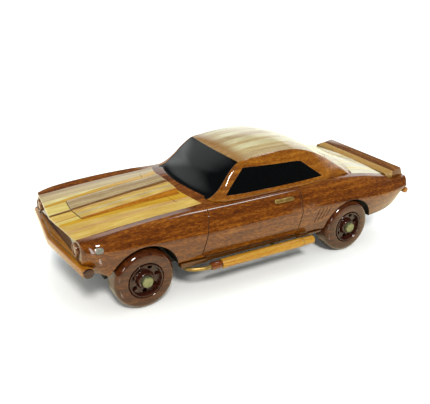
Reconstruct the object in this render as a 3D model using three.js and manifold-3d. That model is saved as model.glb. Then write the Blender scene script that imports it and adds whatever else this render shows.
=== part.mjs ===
// A hand-made wooden display model of a late-1960s coupe, on four free-turning wooden wheels.
// Millimetres. +Z up, the nose points along -Y, the car's left side is +X.
// The origin is on the ground, midway along the car's length, on its centre plane.
import * as THREE from "three";
import { mergeVertices } from "three/addons/utils/BufferGeometryUtils.js";
import Module from "manifold-3d";

const wasm = await Module();
wasm.setup();

// ---- Driving dimensions ----------------------------------------------------------------------

const GAP = 0.3; // glue line or running gap between neighbouring pieces
const GROOVE_WIDTH = 0.6;
const GROOVE_DEPTH = 0.7;

const WHEELBASE = 220;
const FRONT_AXLE_Y = -126.5;
const REAR_AXLE_Y = FRONT_AXLE_Y + WHEELBASE;
const NOSE_Y = -182.6;
const TAIL_Y = 181;

const WHEEL_RADIUS = 26.6;
const TYRE_INNER_X = 48.5;
const TYRE_OUTER_X = 70;
const TYRE_BORE = 15.5;
const HUB_RADIUS = 8;
const BOLT_CIRCLE = 11.2;
const BOLT_HOLE_RADIUS = 2.05;
const BOLT_HOLES = 7;
const AXLE_RADIUS = 3;
const AXLE_HALF = 71;
const CAP_RADIUS = 4.9;
const CAP_OUTER_X = 73;
const ARCH_RADIUS = 31.3;
const ARCH_Z = { front: WHEEL_RADIUS, rear: 24.4 };
const WELL_INNER_X = 43.5;

const BOARD_X = 50; // joint plane between the central block and each side board
const ROOF_X = 42; // joint plane between the roof panel and each roof side
const PANEL = 4; // thickness of the roof, hood and trunk boards
const POCKET_Z = 70; // floor of the pocket that the cabin stands in
const BELT_Z = 77;

const VEE = 0.112; // how far the nose sweeps back for each millimetre sideways
const NOSE_BLEND = 45;
const CHIN_RAKE = 7; // how far the chin is set back at the sill
const CHIN_TOP = 0.45; // share of the way up to the crease where the chin begins

const OPENING = { half: 56, low: 48.4, high: 65, back: -173.4, panel: 3 };
const BUMPER = { half: 66, noseY: -185.5, depth: 9, low: 41.3, high: 48.2, cap: 2 };
const HEADLIGHT = { x: 48.4, z: 57.8, radius: 5.8, faceY: -178.4, depth: 4.7 };
const SCOOP = { frontHalf: 21, rearHalf: 25.5, topHalf: 19.3, tipY: -163.5, rearY: -73.5 };
const SCOOP_RISE = { front: 0.6, rear: 2.6 }; // height of the scoop's flat top above the hood
const RIB = { frontHalf: 1.5, rearHalf: 2.9, height: 0.6, sunk: 0.5 };
const MUFFLER = { x: 73.5, z: 26.3, radius: 4.25, frontY: -57.5, rearY: 30.9, tipY: 44.5 };
const COLLAR = { radius: 3.6, frontY: -68 };
const HEADER_RADIUS = 1.6;
const ROCKER = { innerX: 62, outerX: 68.6, frontY: -95, rearY: 59, low: 28.4 };
const SPOILER = { half: 54.5, frontY: 152.5, seamY: 163, lipY: 174.5, lipZ: 71.4, rearY: 180 };
const KEEL = { half: 41, frontY: -152, rearY: 122, low: 19.5 };
const REAR_BUMPER = { half: 60, y: 182.3, z: 46, radius: 3.2 };
const HANDLE = { y: 12, z: 69.6, length: 21.5, height: 2.6, thickness: 1.8 };
const MARKER = { y: -164.5, z: 62.2, length: 7, height: 4, thickness: 1.4 };

// ---- Curves along the length: [y, value] stations joined smoothly --------------------------------

function along(stations) {
  const last = stations.length - 1;
  const slope = (i) => {
    const before = stations[Math.max(i - 1, 0)];
    const after = stations[Math.min(i + 1, last)];
    return (after[1] - before[1]) / (after[0] - before[0]);
  };
  return (at) => {
    if (at <= stations[0][0]) return stations[0][1];
    if (at >= stations[last][0]) return stations[last][1];
    let i = 0;
    while (at > stations[i + 1][0]) i += 1;
    const [start, from] = stations[i];
    const [end, to] = stations[i + 1];
    const t = (at - start) / (end - start);
    const rest = 1 - t;
    const ends = (1 + 2 * t) * rest * rest * from + t * t * (3 - 2 * t) * to;
    return ends + (end - start) * t * rest * (rest * slope(i) - t * slope(i + 1));
  };
}

const shoulderZ = along([
  [NOSE_Y, 67], [-160, 69.6], [-120, 73.1], [-85, 74.6], [-60, 74.4],
  [0, 75.3], [63, 75.8], [92, 75], [120, 71.8], [151, 66.4], [TAIL_Y, 62.4],
]);
const shoulderX = along([
  [NOSE_Y, 56], [-174, 59], [-160, 60.2], [-120, 59.8], [-85, 59], [-60, 58.8], [-25, 60.6],
  [31, 61.4], [63, 60.6], [92, 58.6], [120, 57.2], [TAIL_Y, 56],
]);
const centreZ = along([
  [NOSE_Y, 66.9], [-160, 69.5], [-110, 74.7], [-74, 78.2], [-62, 80.3], [-40, 79.4],
  [60, 78], [104, 77], [123, 74.7], [151, 68.4], [TAIL_Y, 64],
]);
const crestRise = along([[NOSE_Y, 0.6], [-150, 1.7], [-85, 1.7], [-55, 0], [TAIL_Y, 0]]);
const creaseX = along([
  [NOSE_Y, 60], [-177, 65], [-168, 68.4], [-145, 70], [90, 70], [135, 68.3], [TAIL_Y, 61],
]);
const creaseZ = along([
  [NOSE_Y, 59.5], [-165, 60.6], [-114, 58.1], [-69, 56], [90, 55.1], [150, 51.5], [TAIL_Y, 53],
]);
const sillX = along([[NOSE_Y, 57], [-168, 64], [-150, 66.5], [60, 67.2], [125, 66], [TAIL_Y, 57]]);
const sillZ = along([
  [NOSE_Y, 39.5], [-156, 34.8], [-95, 33], [27, 30.8], [140, 31],
  [156, 32.6], [167, 37.2], [174, 43.6], [TAIL_Y, 48.6],
]);

const roofEdgeZ = along([
  [-60, 78], [-27, 102.6], [-12, 106], [4, 107.8], [22, 108.6], [40, 107.4],
  [60, 101.8], [78, 93.4], [95, 82.8], [112, 72.4], [124, 68],
]);
const roofCrown = along([[-27, 2.8], [5, 4], [90, 4.4], [112, 4], [124, 6]]);
const cabinBaseX = along([[-56, 52], [-40, 56.6], [0, 58], [40, 57.4], [66, 55.6], [109, 49.2], [124, 47]]);
const roofHalfX = along([[-56, 42], [60, 41.5], [90, 41], [112, 45.5], [124, 46.5]]);

const lerp = THREE.MathUtils.lerp;
const clamp = THREE.MathUtils.clamp;
const smoothstep = THREE.MathUtils.smoothstep;
const noseShare = (y) => 1 - smoothstep(y, NOSE_Y, NOSE_Y + NOSE_BLEND);

// Top of the lower body: nearly flat across the hood, with a raised crest along each fender.
function bodyTopZ(y, x) {
  const across = Math.min(Math.abs(x) / shoulderX(y), 1);
  const rise = crestRise(y);
  return lerp(centreZ(y), shoulderZ(y) - rise, across * across) + rise * clamp((across - 0.84) / 0.14, 0, 1);
}

// Half-width of the flank at height z: widest at the crease, leaning in at once above it.
function flankX(y, z) {
  if (z < creaseZ(y)) {
    const up = (z - sillZ(y)) / (creaseZ(y) - sillZ(y));
    return lerp(sillX(y), creaseX(y), Math.sin((Math.max(up, 0) * Math.PI) / 2));
  }
  const up = Math.min((z - creaseZ(y)) / (shoulderZ(y) - creaseZ(y)), 1);
  return lerp(creaseX(y), shoulderX(y), 0.5 * up + 0.5 * up ** 3);
}

const roofTopZ = (y, x) => roofEdgeZ(y) + roofCrown(y) * (1 - (x / roofHalfX(y)) ** 2);
const hoodRearY = (x) => -73.5 + 8.5 * (x / BOARD_X) ** 2;
const cowlRearY = (x) => -65.5 + 13 * (x / BOARD_X) ** 2;
const headerY = (x) => -27 + 3.2 * (x / ROOF_X) ** 2;
const seamY = (x) => 123 - 14.5 * (x / BOARD_X) ** 2;

// ---- Solid helpers -------------------------------------------------------------------------------

function solid(geometry) {
  const bare = geometry.clone();
  bare.deleteAttribute("normal");
  bare.deleteAttribute("uv");
  const merged = mergeVertices(bare, 1e-4);
  const corners = merged.index.array;
  const kept = [];
  for (let i = 0; i < corners.length; i += 3) {
    const [a, b, c] = [corners[i], corners[i + 1], corners[i + 2]];
    if (a !== b && b !== c && c !== a) kept.push(a, b, c);
  }
  const vertProperties = new Float32Array(merged.attributes.position.array);
  const triVerts = new Uint32Array(kept);
  return new wasm.Manifold(new wasm.Mesh({ numProp: 3, vertProperties, triVerts }));
}

// A cut can leave a sliver beside the piece: the piece is the largest body.
function geometryOf(cut) {
  const body = cut.decompose().reduce((largest, part) => (part.volume() > largest.volume() ? part : largest));
  const { vertProperties, triVerts } = body.getMesh();
  const geometry = new THREE.BufferGeometry();
  geometry.setAttribute("position", new THREE.BufferAttribute(vertProperties, 3));
  geometry.setIndex(new THREE.BufferAttribute(triVerts, 1));
  return geometry;
}

// A box of unit cells whose corners are moved by place(u, v, w): u is -1 to 1, v and w are 0 to 1.
function warpedBox(cells, place) {
  const geometry = new THREE.BoxGeometry(2, 1, 1, ...cells);
  const corner = new THREE.Vector3();
  const points = geometry.attributes.position;
  for (let i = 0; i < points.count; i += 1) {
    corner.fromBufferAttribute(points, i);
    points.setXYZ(i, ...place(corner.x, corner.y + 0.5, corner.z + 0.5));
  }
  return solid(geometry);
}

function box(x0, x1, y0, y1, z0, z1) {
  const geometry = new THREE.BoxGeometry(x1 - x0, y1 - y0, z1 - z0);
  return solid(geometry.translate((x0 + x1) / 2, (y0 + y1) / 2, (z0 + z1) / 2));
}

const outline = (points) => new THREE.Shape(points.map(([a, b]) => new THREE.Vector2(a, b)));
const prism = (shape, from, to, curveSegments = 12) =>
  new THREE.ExtrudeGeometry(shape, { depth: to - from, bevelEnabled: false, curveSegments })
    .translate(0, 0, from);

// A shape drawn in (y, z), (x, z) or (x, y) and carried along the remaining axis.
const X_AXIS = new THREE.Vector3(1, 0, 0);
const Y_AXIS = new THREE.Vector3(0, 1, 0);
const Z_AXIS = new THREE.Vector3(0, 0, 1);
const alongX = (shape, x0, x1, segments) =>
  solid(prism(shape, x0, x1, segments).applyMatrix4(new THREE.Matrix4().makeBasis(Y_AXIS, Z_AXIS, X_AXIS)));
const alongY = (shape, y0, y1, segments) =>
  solid(prism(shape, -y1, -y0, segments).rotateX(Math.PI / 2));
const alongZ = (shape, z0, z1, segments) => solid(prism(shape, z0, z1, segments));

// A convex outline moved inwards by a distance (outwards when it is negative).
function inset(points, distance) {
  const area = points.reduce((sum, [a, b], i) => {
    const [c, d] = points[(i + 1) % points.length];
    return sum + a * d - b * c;
  }, 0);
  const edges = points.map(([a, b], i) => {
    const [c, d] = points[(i + 1) % points.length];
    const length = Math.hypot(c - a, d - b) * Math.sign(area);
    const normal = [-(d - b) / length, (c - a) / length];
    return { normal, offset: normal[0] * a + normal[1] * b + distance };
  });
  return edges.map((edge, i) => {
    const before = edges[(i + edges.length - 1) % edges.length];
    const cross = before.normal[0] * edge.normal[1] - before.normal[1] * edge.normal[0];
    return [
      (before.offset * edge.normal[1] - edge.offset * before.normal[1]) / cross,
      (edge.offset * before.normal[0] - before.offset * edge.normal[0]) / cross,
    ];
  });
}

// Points across the car on the curve y = curve(x), and the plan region between two such curves.
function across(curve, half, shift = 0) {
  const steps = 8;
  return Array.from({ length: steps + 1 }, (_, i) => {
    const x = lerp(-half, half, i / steps);
    return [x, curve(x) + shift];
  });
}
const planBetween = (front, rear, half, z0, z1) =>
  alongZ(outline([...across(front, half), ...across(rear, half).reverse()]), z0, z1);

// A thin wall along a line drawn in (y, z), as wide as an engraved groove.
function grooveWall(points) {
  const pieces = points.slice(1).map(([y1, z1], i) => {
    const [y0, z0] = points[i];
    const length = Math.hypot(y1 - y0, z1 - z0);
    const side = [(-(z1 - z0) / length) * GROOVE_WIDTH * 0.5, ((y1 - y0) / length) * GROOVE_WIDTH * 0.5];
    const corners = [
      [y0 + side[0], z0 + side[1]], [y1 + side[0], z1 + side[1]],
      [y1 - side[0], z1 - side[1]], [y0 - side[0], z0 - side[1]],
    ];
    return alongX(outline(corners.reverse()), BOARD_X, 90);
  });
  return pieces.reduce((sum, piece) => sum.add(piece));
}

// ---- Whole forms that the pieces are sawn from ---------------------------------------------------

const LENGTH_CELLS = 24;
const ACROSS_CELLS = 8;
const UP_CELLS = 4;
const END_CROWDING = 0.55; // sections stand closer together towards the nose and the tail

const lowerBody = warpedBox([ACROSS_CELLS, LENGTH_CELLS, UP_CELLS], (u, v, w) => {
  const y = lerp(NOSE_Y, TAIL_Y, v - (END_CROWDING * Math.sin(2 * Math.PI * v)) / (2 * Math.PI));
  const up = w * 2;
  const x = u * (w < 0.5 ? lerpFlankBelow(y, up) : lerpFlankAbove(y, up - 1));
  const z = w < 0.5 ? lerp(sillZ(y), creaseZ(y), up) : lerp(creaseZ(y), bodyTopZ(y, x), up - 1);
  const rake = CHIN_RAKE * Math.max(1 - up / CHIN_TOP, 0);
  return [x, y + (VEE * Math.abs(x) + rake) * noseShare(y), z];
});

function lerpFlankBelow(y, up) {
  return flankX(y, lerp(sillZ(y), creaseZ(y), up));
}

function lerpFlankAbove(y, up) {
  return flankX(y, lerp(creaseZ(y), shoulderZ(y), up));
}

// The cabin: sides lean in from the belt, then round over into the roof.
const SIDE_KNEE = { up: 0.6, inward: 0.72, height: 0.83 };
const CABIN_ROWS = 6; // the lowest row is the foot that stands in the pocket

function cabinSide(t) {
  if (t < SIDE_KNEE.up) {
    const share = t / SIDE_KNEE.up;
    return [SIDE_KNEE.inward * share, SIDE_KNEE.height * share];
  }
  const s = (t - SIDE_KNEE.up) / (1 - SIDE_KNEE.up);
  const bend = 2 * s * (1 - s);
  return [
    SIDE_KNEE.inward * (1 - s) ** 2 + 0.87 * bend + s * s,
    SIDE_KNEE.height * (1 - s) ** 2 + 0.985 * bend + s * s,
  ];
}

const cabin = warpedBox([6, 13, CABIN_ROWS], (u, v, w) => {
  const foot = Math.min(w * CABIN_ROWS, 1);
  const t = Math.max(w * CABIN_ROWS - 1, 0) / (CABIN_ROWS - 1);
  const [inward, height] = cabinSide(t);
  const front = lerp(-69.5 + 14 * u * u, headerY(u * ROOF_X), t);
  const rear = seamY(u * BOARD_X) + 2;
  const y = lerp(front, rear, v);
  const x = u * lerp(cabinBaseX(y), roofHalfX(y), inward);
  const belt = lerp(POCKET_Z + GAP, Math.min(BELT_Z, roofTopZ(y, x) - 1), foot);
  return [x, y, lerp(belt, roofTopZ(y, u * roofHalfX(y)), height)];
});

// ---- Shapes that cut the forms -------------------------------------------------------------------

function archOutline(y, z) {
  const shape = new THREE.Shape();
  shape.moveTo(y - ARCH_RADIUS, 0);
  shape.lineTo(y + ARCH_RADIUS, 0);
  shape.lineTo(y + ARCH_RADIUS, z);
  shape.absarc(y, z, ARCH_RADIUS, 0, Math.PI, false);
  return shape;
}

const archesFrom = (x0, x1) =>
  [[FRONT_AXLE_Y, ARCH_Z.front], [REAR_AXLE_Y, ARCH_Z.rear]]
    .map(([y, z]) => alongX(archOutline(y, z), x0, x1, 14))
    .reduce((sum, arch) => sum.add(arch));

const bumperOutline = (grow) =>
  outline([
    [0, BUMPER.noseY - grow], [BUMPER.half, BUMPER.noseY + VEE * BUMPER.half - grow],
    [BUMPER.half, BUMPER.noseY + BUMPER.depth + VEE * BUMPER.half + grow],
    [0, BUMPER.noseY + BUMPER.depth + grow],
    [-BUMPER.half, BUMPER.noseY + BUMPER.depth + VEE * BUMPER.half + grow],
    [-BUMPER.half, BUMPER.noseY + VEE * BUMPER.half - grow],
  ]);

function openingOutline(grow) {
  const half = OPENING.half + grow;
  const low = OPENING.low - grow;
  const high = OPENING.high + grow;
  const radius = (high - low) / 2;
  const shape = new THREE.Shape();
  shape.moveTo(-half + radius, low);
  shape.lineTo(half - radius, low);
  shape.absarc(half - radius, low + radius, radius, -Math.PI / 2, Math.PI / 2, false);
  shape.lineTo(-half + radius, high);
  shape.absarc(-half + radius, low + radius, radius, Math.PI / 2, (3 * Math.PI) / 2, false);
  return shape;
}

const bumperSlot = alongZ(bumperOutline(GAP), BUMPER.low - GAP, BUMPER.high + GAP)
  .add(box(BUMPER.half - 1, 90, -190, -167.5, BUMPER.low - GAP, BUMPER.high + GAP))
  .add(box(-90, 1 - BUMPER.half, -190, -167.5, BUMPER.low - GAP, BUMPER.high + GAP));
const opening = alongY(openingOutline(0), -200, OPENING.back, 8);

// The hood scoop: a low wedge with a flat top and bevelled sides that widen towards the windshield.
const SCOOP_DEPTH = 2;
const scoopTop = (v) => lerp(SCOOP_RISE.front, SCOOP_RISE.rear, v);
const scoopForm = (grow) =>
  warpedBox([8, 8, 1], (u, v, w) => {
    const reach = Math.abs(u);
    const knee = 0.75;
    const half = lerp(SCOOP.frontHalf, SCOOP.rearHalf, v) + grow;
    const inside = (reach / knee) * SCOOP.topHalf;
    const outside = lerp(SCOOP.topHalf, half, (reach - knee) / (1 - knee));
    const x = Math.sign(u) * (reach < knee ? inside : outside);
    const y = lerp(SCOOP.tipY + 3 * reach - grow, SCOOP.rearY + grow, v);
    const top = scoopTop(v) * clamp((1 - reach) / (1 - knee), 0.1, 1) + grow * 40;
    return [x, y, bodyTopZ(y, x) + lerp(-SCOOP_DEPTH - grow, top, w)];
  });

// The rib along the middle of the hood, running from the nose and over the scoop.
const ribForm = (grow) =>
  warpedBox([4, 16, 1], (u, v, w) => {
    const y = lerp(NOSE_Y + 0.4 - 4 * grow, SCOOP.rearY + grow, v);
    const x = u * (lerp(RIB.frontHalf, RIB.rearHalf, v) + grow);
    const along = clamp((y - SCOOP.tipY) / (SCOOP.rearY - SCOOP.tipY), 0, 1);
    const base = scoopTop(along) * smoothstep(y, SCOOP.tipY - 1, SCOOP.tipY + 1);
    const depth = lerp(RIB.sunk, SCOOP_DEPTH, smoothstep(y, SCOOP.tipY, SCOOP.tipY + 8));
    const crown = RIB.height * (1 - u * u) + grow * 40;
    return [x, y + VEE * Math.abs(x) * noseShare(y), bodyTopZ(y, x) + lerp(-depth - grow, base + crown, w)];
  });
const spoilerSide = [
  [SPOILER.frontY, 62], [SPOILER.rearY, 62], [SPOILER.lipY, SPOILER.lipZ],
  [SPOILER.seamY, 69.2], [SPOILER.frontY, 67.9],
];
const spoilerForm = alongX(outline(spoilerSide), -SPOILER.half, SPOILER.half);
const spoilerSlot = alongX(
  outline([[SPOILER.frontY - GAP, 62 - GAP], [190, 62 - GAP], [190, 90], [SPOILER.frontY - GAP, 90]]),
  -90, 90,
);
const rearRod = (radius, half) => {
  const rod = new THREE.CylinderGeometry(radius, radius, 2 * half, 20);
  return solid(rod.rotateZ(Math.PI / 2).translate(0, REAR_BUMPER.y, REAR_BUMPER.z));
};
const axleBore = (y) => {
  const rod = new THREE.CylinderGeometry(AXLE_RADIUS + GAP, AXLE_RADIUS + GAP, 200, 20);
  return solid(rod.rotateZ(Math.PI / 2).translate(0, y, WHEEL_RADIUS));
};

const tailRecess = box(-52, 52, TAIL_Y - 3, 200, 50.5, 61.4);
const innerHalf = BOARD_X - GAP / 2;
const middle = box(-innerHalf, innerHalf, -300, 300, 0, 200);
const body = lowerBody.subtract(bumperSlot).subtract(opening).subtract(spoilerSlot)
  .subtract(rearRod(REAR_BUMPER.radius + GAP, 90));

const FAR = 300;
const hoodRegion = planBetween(() => -FAR, hoodRearY, 60, 0, 200)
  .intersect(alongX(outline([[-195, 64.6], [-60, 75], [-60, 120], [-195, 120]]), -60, 60));
const cowlRegion = planBetween((x) => hoodRearY(x) + GAP, cowlRearY, 60, 73, 200);
const trunkRegion = planBetween((x) => seamY(x) + GAP, () => SPOILER.frontY - GAP, 60, 64, 200);
const pocket = planBetween((x) => cowlRearY(x) + GAP, seamY, 60, POCKET_Z, 200);

// ---- Lower body pieces ---------------------------------------------------------------------------

const aboveBy = (form, height) => form.translate(0, 0, height);
const hoodBed = aboveBy(hoodRegion, -GAP)
  .add(planBetween(() => -FAR, (x) => hoodRearY(x) + GAP, 60, 76, 200));
const cowlBed = planBetween(hoodRearY, (x) => cowlRearY(x) + GAP, 60, 73 - GAP, 200);
const trunkBed = planBetween(seamY, () => 190, 60, 64 - GAP, 200);
const keel = box(-KEEL.half, KEEL.half, KEEL.frontY, KEEL.rearY, KEEL.low, 50);
const bodyCore = body.intersect(middle).add(keel)
  .subtract(hoodBed.add(cowlBed).add(pocket).add(trunkBed))
  .subtract(tailRecess)
  .subtract(archesFrom(WELL_INNER_X, 90))
  .subtract(archesFrom(-90, -WELL_INNER_X))
  .subtract(axleBore(FRONT_AXLE_Y))
  .subtract(axleBore(REAR_AXLE_Y));

const doorFront = [[-63.8, 78.5], [-69.5, 56], [-73.4, 36.5], [-71, 34.4]];
const doorRear = [[31.5, 76.5], [32.5, 55.5], [29.5, 38], [27.5, 32.4]];
const doorFoot = [[-71, 34.4], [-20, 33.5], [27.5, 32.4]];
const gills = [0, 1, 2, 3].map((i) => [[53.5 + 4.6 * i, 54], [48 + 4.6 * i, 41 + 1.2 * i]]);
const grooves = [doorFront, doorRear, doorFoot, ...gills]
  .map(grooveWall)
  .reduce((sum, wall) => sum.add(wall));
const sideBoard = body.intersect(box(BOARD_X + GAP / 2, 90, -FAR, FAR, 0, 200))
  .subtract(archesFrom(40, 90))
  .subtract(tailRecess)
  .subtract(grooves.subtract(lowerBody.translate(-GROOVE_DEPTH, 0, 0)));

const hoodPanel = body.intersect(middle).intersect(hoodRegion)
  .subtract(scoopForm(GAP))
  .subtract(ribForm(GAP));
const cowlPanel = body.intersect(middle).intersect(cowlRegion);
const trunkLid = body.intersect(middle).intersect(trunkRegion);

const scoop = scoopForm(0);
const scoopBevel = scoop.intersect(box(SCOOP.topHalf, 40, -FAR, FAR, 0, 200));
const scoopHalf = scoop.intersect(box(GAP / 2, SCOOP.topHalf - GAP, -FAR, FAR, 0, 200))
  .subtract(ribForm(GAP));

// ---- Cabin pieces --------------------------------------------------------------------------------

const shoulderBed = aboveBy(lowerBody.subtract(box(-innerHalf, innerHalf, -FAR, FAR, 0, 200)), GAP);
const cabinFoot = aboveBy(body.intersect(planBetween(() => -90, (x) => cowlRearY(x) + GAP, 60, 0, 200)), GAP);
const behindSeam = planBetween((x) => seamY(x) - GAP, () => 200, 60, 0, 200);
const cabinForm = cabin.subtract(shoulderBed).subtract(cabinFoot).subtract(behindSeam);

const windshieldBack = (grow) =>
  alongX(outline([
    [-90, 70 - grow], [-58.5 + grow, 70 - grow], [-21.5 + grow, 100.2 - grow],
    [-21.5 + grow, 130], [-90, 130],
  ]), -60, 60);
const windshieldPlan = (grow) => planBetween(() => -90, (x) => headerY(x) + grow, 60, 0, 200);
const windshieldForm = (grow) =>
  alongY(outline(inset([[-50.2, 60], [50.2, 60], [41, 106], [-41, 106]], -grow)), -90, 0)
    .intersect(windshieldBack(grow)).intersect(windshieldPlan(grow));

// Underside of the roof board and of the rear window, parallel to the roof.
function roofUnder(drop) {
  const steps = 14;
  const line = Array.from({ length: steps + 1 }, (_, i) => {
    const y = lerp(-40, 124, i / steps);
    return [y, Math.max(roofEdgeZ(y) - drop, POCKET_Z + GAP)];
  });
  return alongX(outline([...line, [124, 140], [-40, 140]]), -60, 60);
}

const roofMiddle = box(GAP / 2 - ROOF_X, ROOF_X - GAP / 2, -FAR, FAR, 0, 200);
const rearGlass = [[-35, 62], [35, 62], [38, 104], [-38, 104]];
const rearWindowForm = (grow) => alongZ(outline(inset(rearGlass, -grow)), 0, 200);
const roofBand = cabinForm.intersect(roofMiddle).intersect(roofUnder(PANEL - 2)).subtract(windshieldForm(GAP))
  .subtract(planBetween(() => -90, (x) => headerY(x) + GAP, 60, 0, 200));
const roofPanel = roofBand.subtract(rearWindowForm(GAP));
const rearWindow = roofBand.intersect(rearWindowForm(0));
const windshield = cabinForm.intersect(windshieldForm(0));
const cabinCore = cabinForm.intersect(roofMiddle)
  .subtract(roofUnder(PANEL - 2 + GAP)).subtract(windshieldForm(GAP));

const sideGlass = [[-42.8, 79.8], [66, 80.3], [42.5, 97], [36, 98], [-21.7, 100]];
const GLASS = 2.4;
const glassBack = (extra) => cabin.translate(-GLASS - extra, 0, 0);
const sideWindow = cabinForm.intersect(alongX(outline(sideGlass), 38, 70)).subtract(glassBack(0));
const roofSide = cabinForm.intersect(box(ROOF_X + GAP / 2, 90, -FAR, FAR, 0, 200))
  .subtract(windshieldForm(GAP))
  .subtract(alongX(outline(inset(sideGlass, -GAP)), 38, 70).subtract(glassBack(GAP)));

// ---- Trim ----------------------------------------------------------------------------------------

const frontBumper = alongZ(bumperOutline(0), BUMPER.low, BUMPER.high);
const bumperCap = () => {
  const y = BUMPER.noseY + VEE * BUMPER.half + BUMPER.depth / 2;
  const cap = new THREE.CylinderGeometry(BUMPER.depth / 2, BUMPER.depth / 2, BUMPER.cap, 18);
  return cap.rotateZ(Math.PI / 2).scale(1, 1, 0.88)
    .translate(BUMPER.half + GAP + BUMPER.cap / 2, y, (BUMPER.low + BUMPER.high) / 2);
};
const panelFace = OPENING.back - OPENING.panel;
const panelBlank = alongY(openingOutline(-GAP), panelFace, OPENING.back - GAP, 8).subtract(bumperSlot);
const sillBlank = alongY(openingOutline(-GAP), -200, panelFace - GAP, 8)
  .intersect(lowerBody.translate(0, 0.5, 0))
  .intersect(box(-49, 49, -200, 0, BUMPER.high + 2 * GAP, 51.2));
const headlightWell = (x) => {
  const radius = HEADLIGHT.radius + GAP;
  const well = new THREE.CylinderGeometry(radius, radius, 40, 18);
  return solid(well.translate(x, HEADLIGHT.faceY, HEADLIGHT.z));
};

// A turned disc about the Y axis: profile points are [radius, distance forward of the back].
const turned = (profile, segments) =>
  new THREE.LatheGeometry(profile.map(([r, h]) => new THREE.Vector2(r, h)), segments);
const headlightWells = headlightWell(HEADLIGHT.x).add(headlightWell(-HEADLIGHT.x));
const grilleSill = sillBlank.subtract(headlightWells);
const grillePanel = panelBlank.subtract(headlightWells);
const headlight = turned(
  [[0, 0], [HEADLIGHT.radius, 0], [HEADLIGHT.radius, HEADLIGHT.depth - 0.7],
    [HEADLIGHT.radius - 0.9, HEADLIGHT.depth], [HEADLIGHT.radius - 1.5, HEADLIGHT.depth - 0.6],
    [2.5, HEADLIGHT.depth - 0.2], [0, HEADLIGHT.depth]], 20,
).rotateX(Math.PI).translate(HEADLIGHT.x, HEADLIGHT.faceY + HEADLIGHT.depth, HEADLIGHT.z);

function roundedBar(length, height, thickness) {
  const shape = new THREE.Shape();
  const radius = height / 2;
  shape.absarc(length / 2 - radius, 0, radius, -Math.PI / 2, Math.PI / 2, false);
  shape.absarc(radius - length / 2, 0, radius, Math.PI / 2, (3 * Math.PI) / 2, false);
  return prism(shape, 0, thickness, 6)
    .applyMatrix4(new THREE.Matrix4().makeBasis(Y_AXIS, Z_AXIS, X_AXIS));
}

// A small bar laid on the flank: it turns to the flank's own lean and stands GAP clear of it.
function onFlank(part) {
  const bar = new THREE.Mesh(roundedBar(part.length, part.height, part.thickness));
  const low = flankX(part.y, part.z - part.height / 2);
  const high = flankX(part.y, part.z + part.height / 2);
  bar.rotation.y = -Math.atan2(low - high, part.height);
  bar.position.set((low + high) / 2 + GAP + 0.15, part.y, part.z);
  return bar;
}

const rocker = alongX(
  outline([
    [ROCKER.frontY + 1, ROCKER.low], [30, ROCKER.low], [ROCKER.rearY, ROCKER.low + 0.4],
    [ROCKER.rearY, sillZ(ROCKER.rearY) - GAP], [27, sillZ(27) - GAP], [-30, sillZ(-30) - GAP],
    [ROCKER.frontY + 1, sillZ(ROCKER.frontY) - GAP],
  ]),
  ROCKER.innerX, ROCKER.outerX,
).subtract(lowerBody.translate(0, 0, -GAP)).subtract(archesFrom(40, 90));

const lengthways = (profile, segments) => turned(profile, segments);
const muffler = lengthways(
  [[0, MUFFLER.frontY], [MUFFLER.radius - 0.5, MUFFLER.frontY], [MUFFLER.radius, MUFFLER.frontY + 0.6],
    [MUFFLER.radius, MUFFLER.rearY], [MUFFLER.radius - 0.9, MUFFLER.rearY + 0.8],
    [MUFFLER.radius - 0.9, MUFFLER.tipY], [MUFFLER.radius - 1.7, MUFFLER.tipY],
    [MUFFLER.radius - 1.7, MUFFLER.tipY - 4], [0, MUFFLER.tipY - 4]], 20,
).translate(MUFFLER.x, 0, MUFFLER.z);
const collar = lengthways(
  [[0, COLLAR.frontY], [COLLAR.radius - 0.6, COLLAR.frontY], [COLLAR.radius, COLLAR.frontY + 1],
    [COLLAR.radius, MUFFLER.frontY - GAP], [0, MUFFLER.frontY - GAP]], 18,
).translate(MUFFLER.x, 0, MUFFLER.z);

function headerPipe() {
  const path = new THREE.CatmullRomCurve3([
    new THREE.Vector3(MUFFLER.x, COLLAR.frontY - GAP, MUFFLER.z),
    new THREE.Vector3(MUFFLER.x - 0.4, -74, MUFFLER.z - 0.4),
    new THREE.Vector3(MUFFLER.x - 4, -83, MUFFLER.z - 0.8),
    new THREE.Vector3(65, -87.5, MUFFLER.z - 0.8),
    new THREE.Vector3(58.5, -88, 27),
    new THREE.Vector3(57, -88, sillZ(-88) - 3 * GAP),
  ]);
  const ring = new THREE.Shape().absarc(0, 0, HEADER_RADIUS, 0, 2 * Math.PI, false);
  return new THREE.ExtrudeGeometry(ring, { steps: 12, curveSegments: 4, extrudePath: path });
}

// Hanger dowel: from the muffler's inner side to the underside of the sill.
function hanger() {
  const y = 4;
  const path = new THREE.CatmullRomCurve3([
    new THREE.Vector3(MUFFLER.x - MUFFLER.radius - GAP, y, MUFFLER.z),
    new THREE.Vector3(64, y, MUFFLER.z),
    new THREE.Vector3(59, y, 27.5),
    new THREE.Vector3(58, y, sillZ(y) - GAP),
  ]);
  const ring = new THREE.Shape().absarc(0, 0, 1.2, 0, 2 * Math.PI, false);
  return new THREE.ExtrudeGeometry(ring, { steps: 6, curveSegments: 3, extrudePath: path });
}

const spoilerEnds = alongZ(
  outline([[-SPOILER.half, SPOILER.frontY - 1], [SPOILER.half, SPOILER.frontY - 1],
    [SPOILER.half, SPOILER.lipY - 5], [SPOILER.half - 2, 185], [2 - SPOILER.half, 185],
    [-SPOILER.half, SPOILER.lipY - 5]]), 0, 200,
);
const spoilerCut = SPOILER.seamY - GAP / 2;
const spoilerBase = spoilerForm.intersect(spoilerEnds).intersect(box(-90, 90, 0, spoilerCut, 0, 200));
const spoilerBlade = spoilerForm.intersect(spoilerEnds)
  .intersect(box(-90, 90, spoilerCut + GAP, 300, 0, 200));

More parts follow.
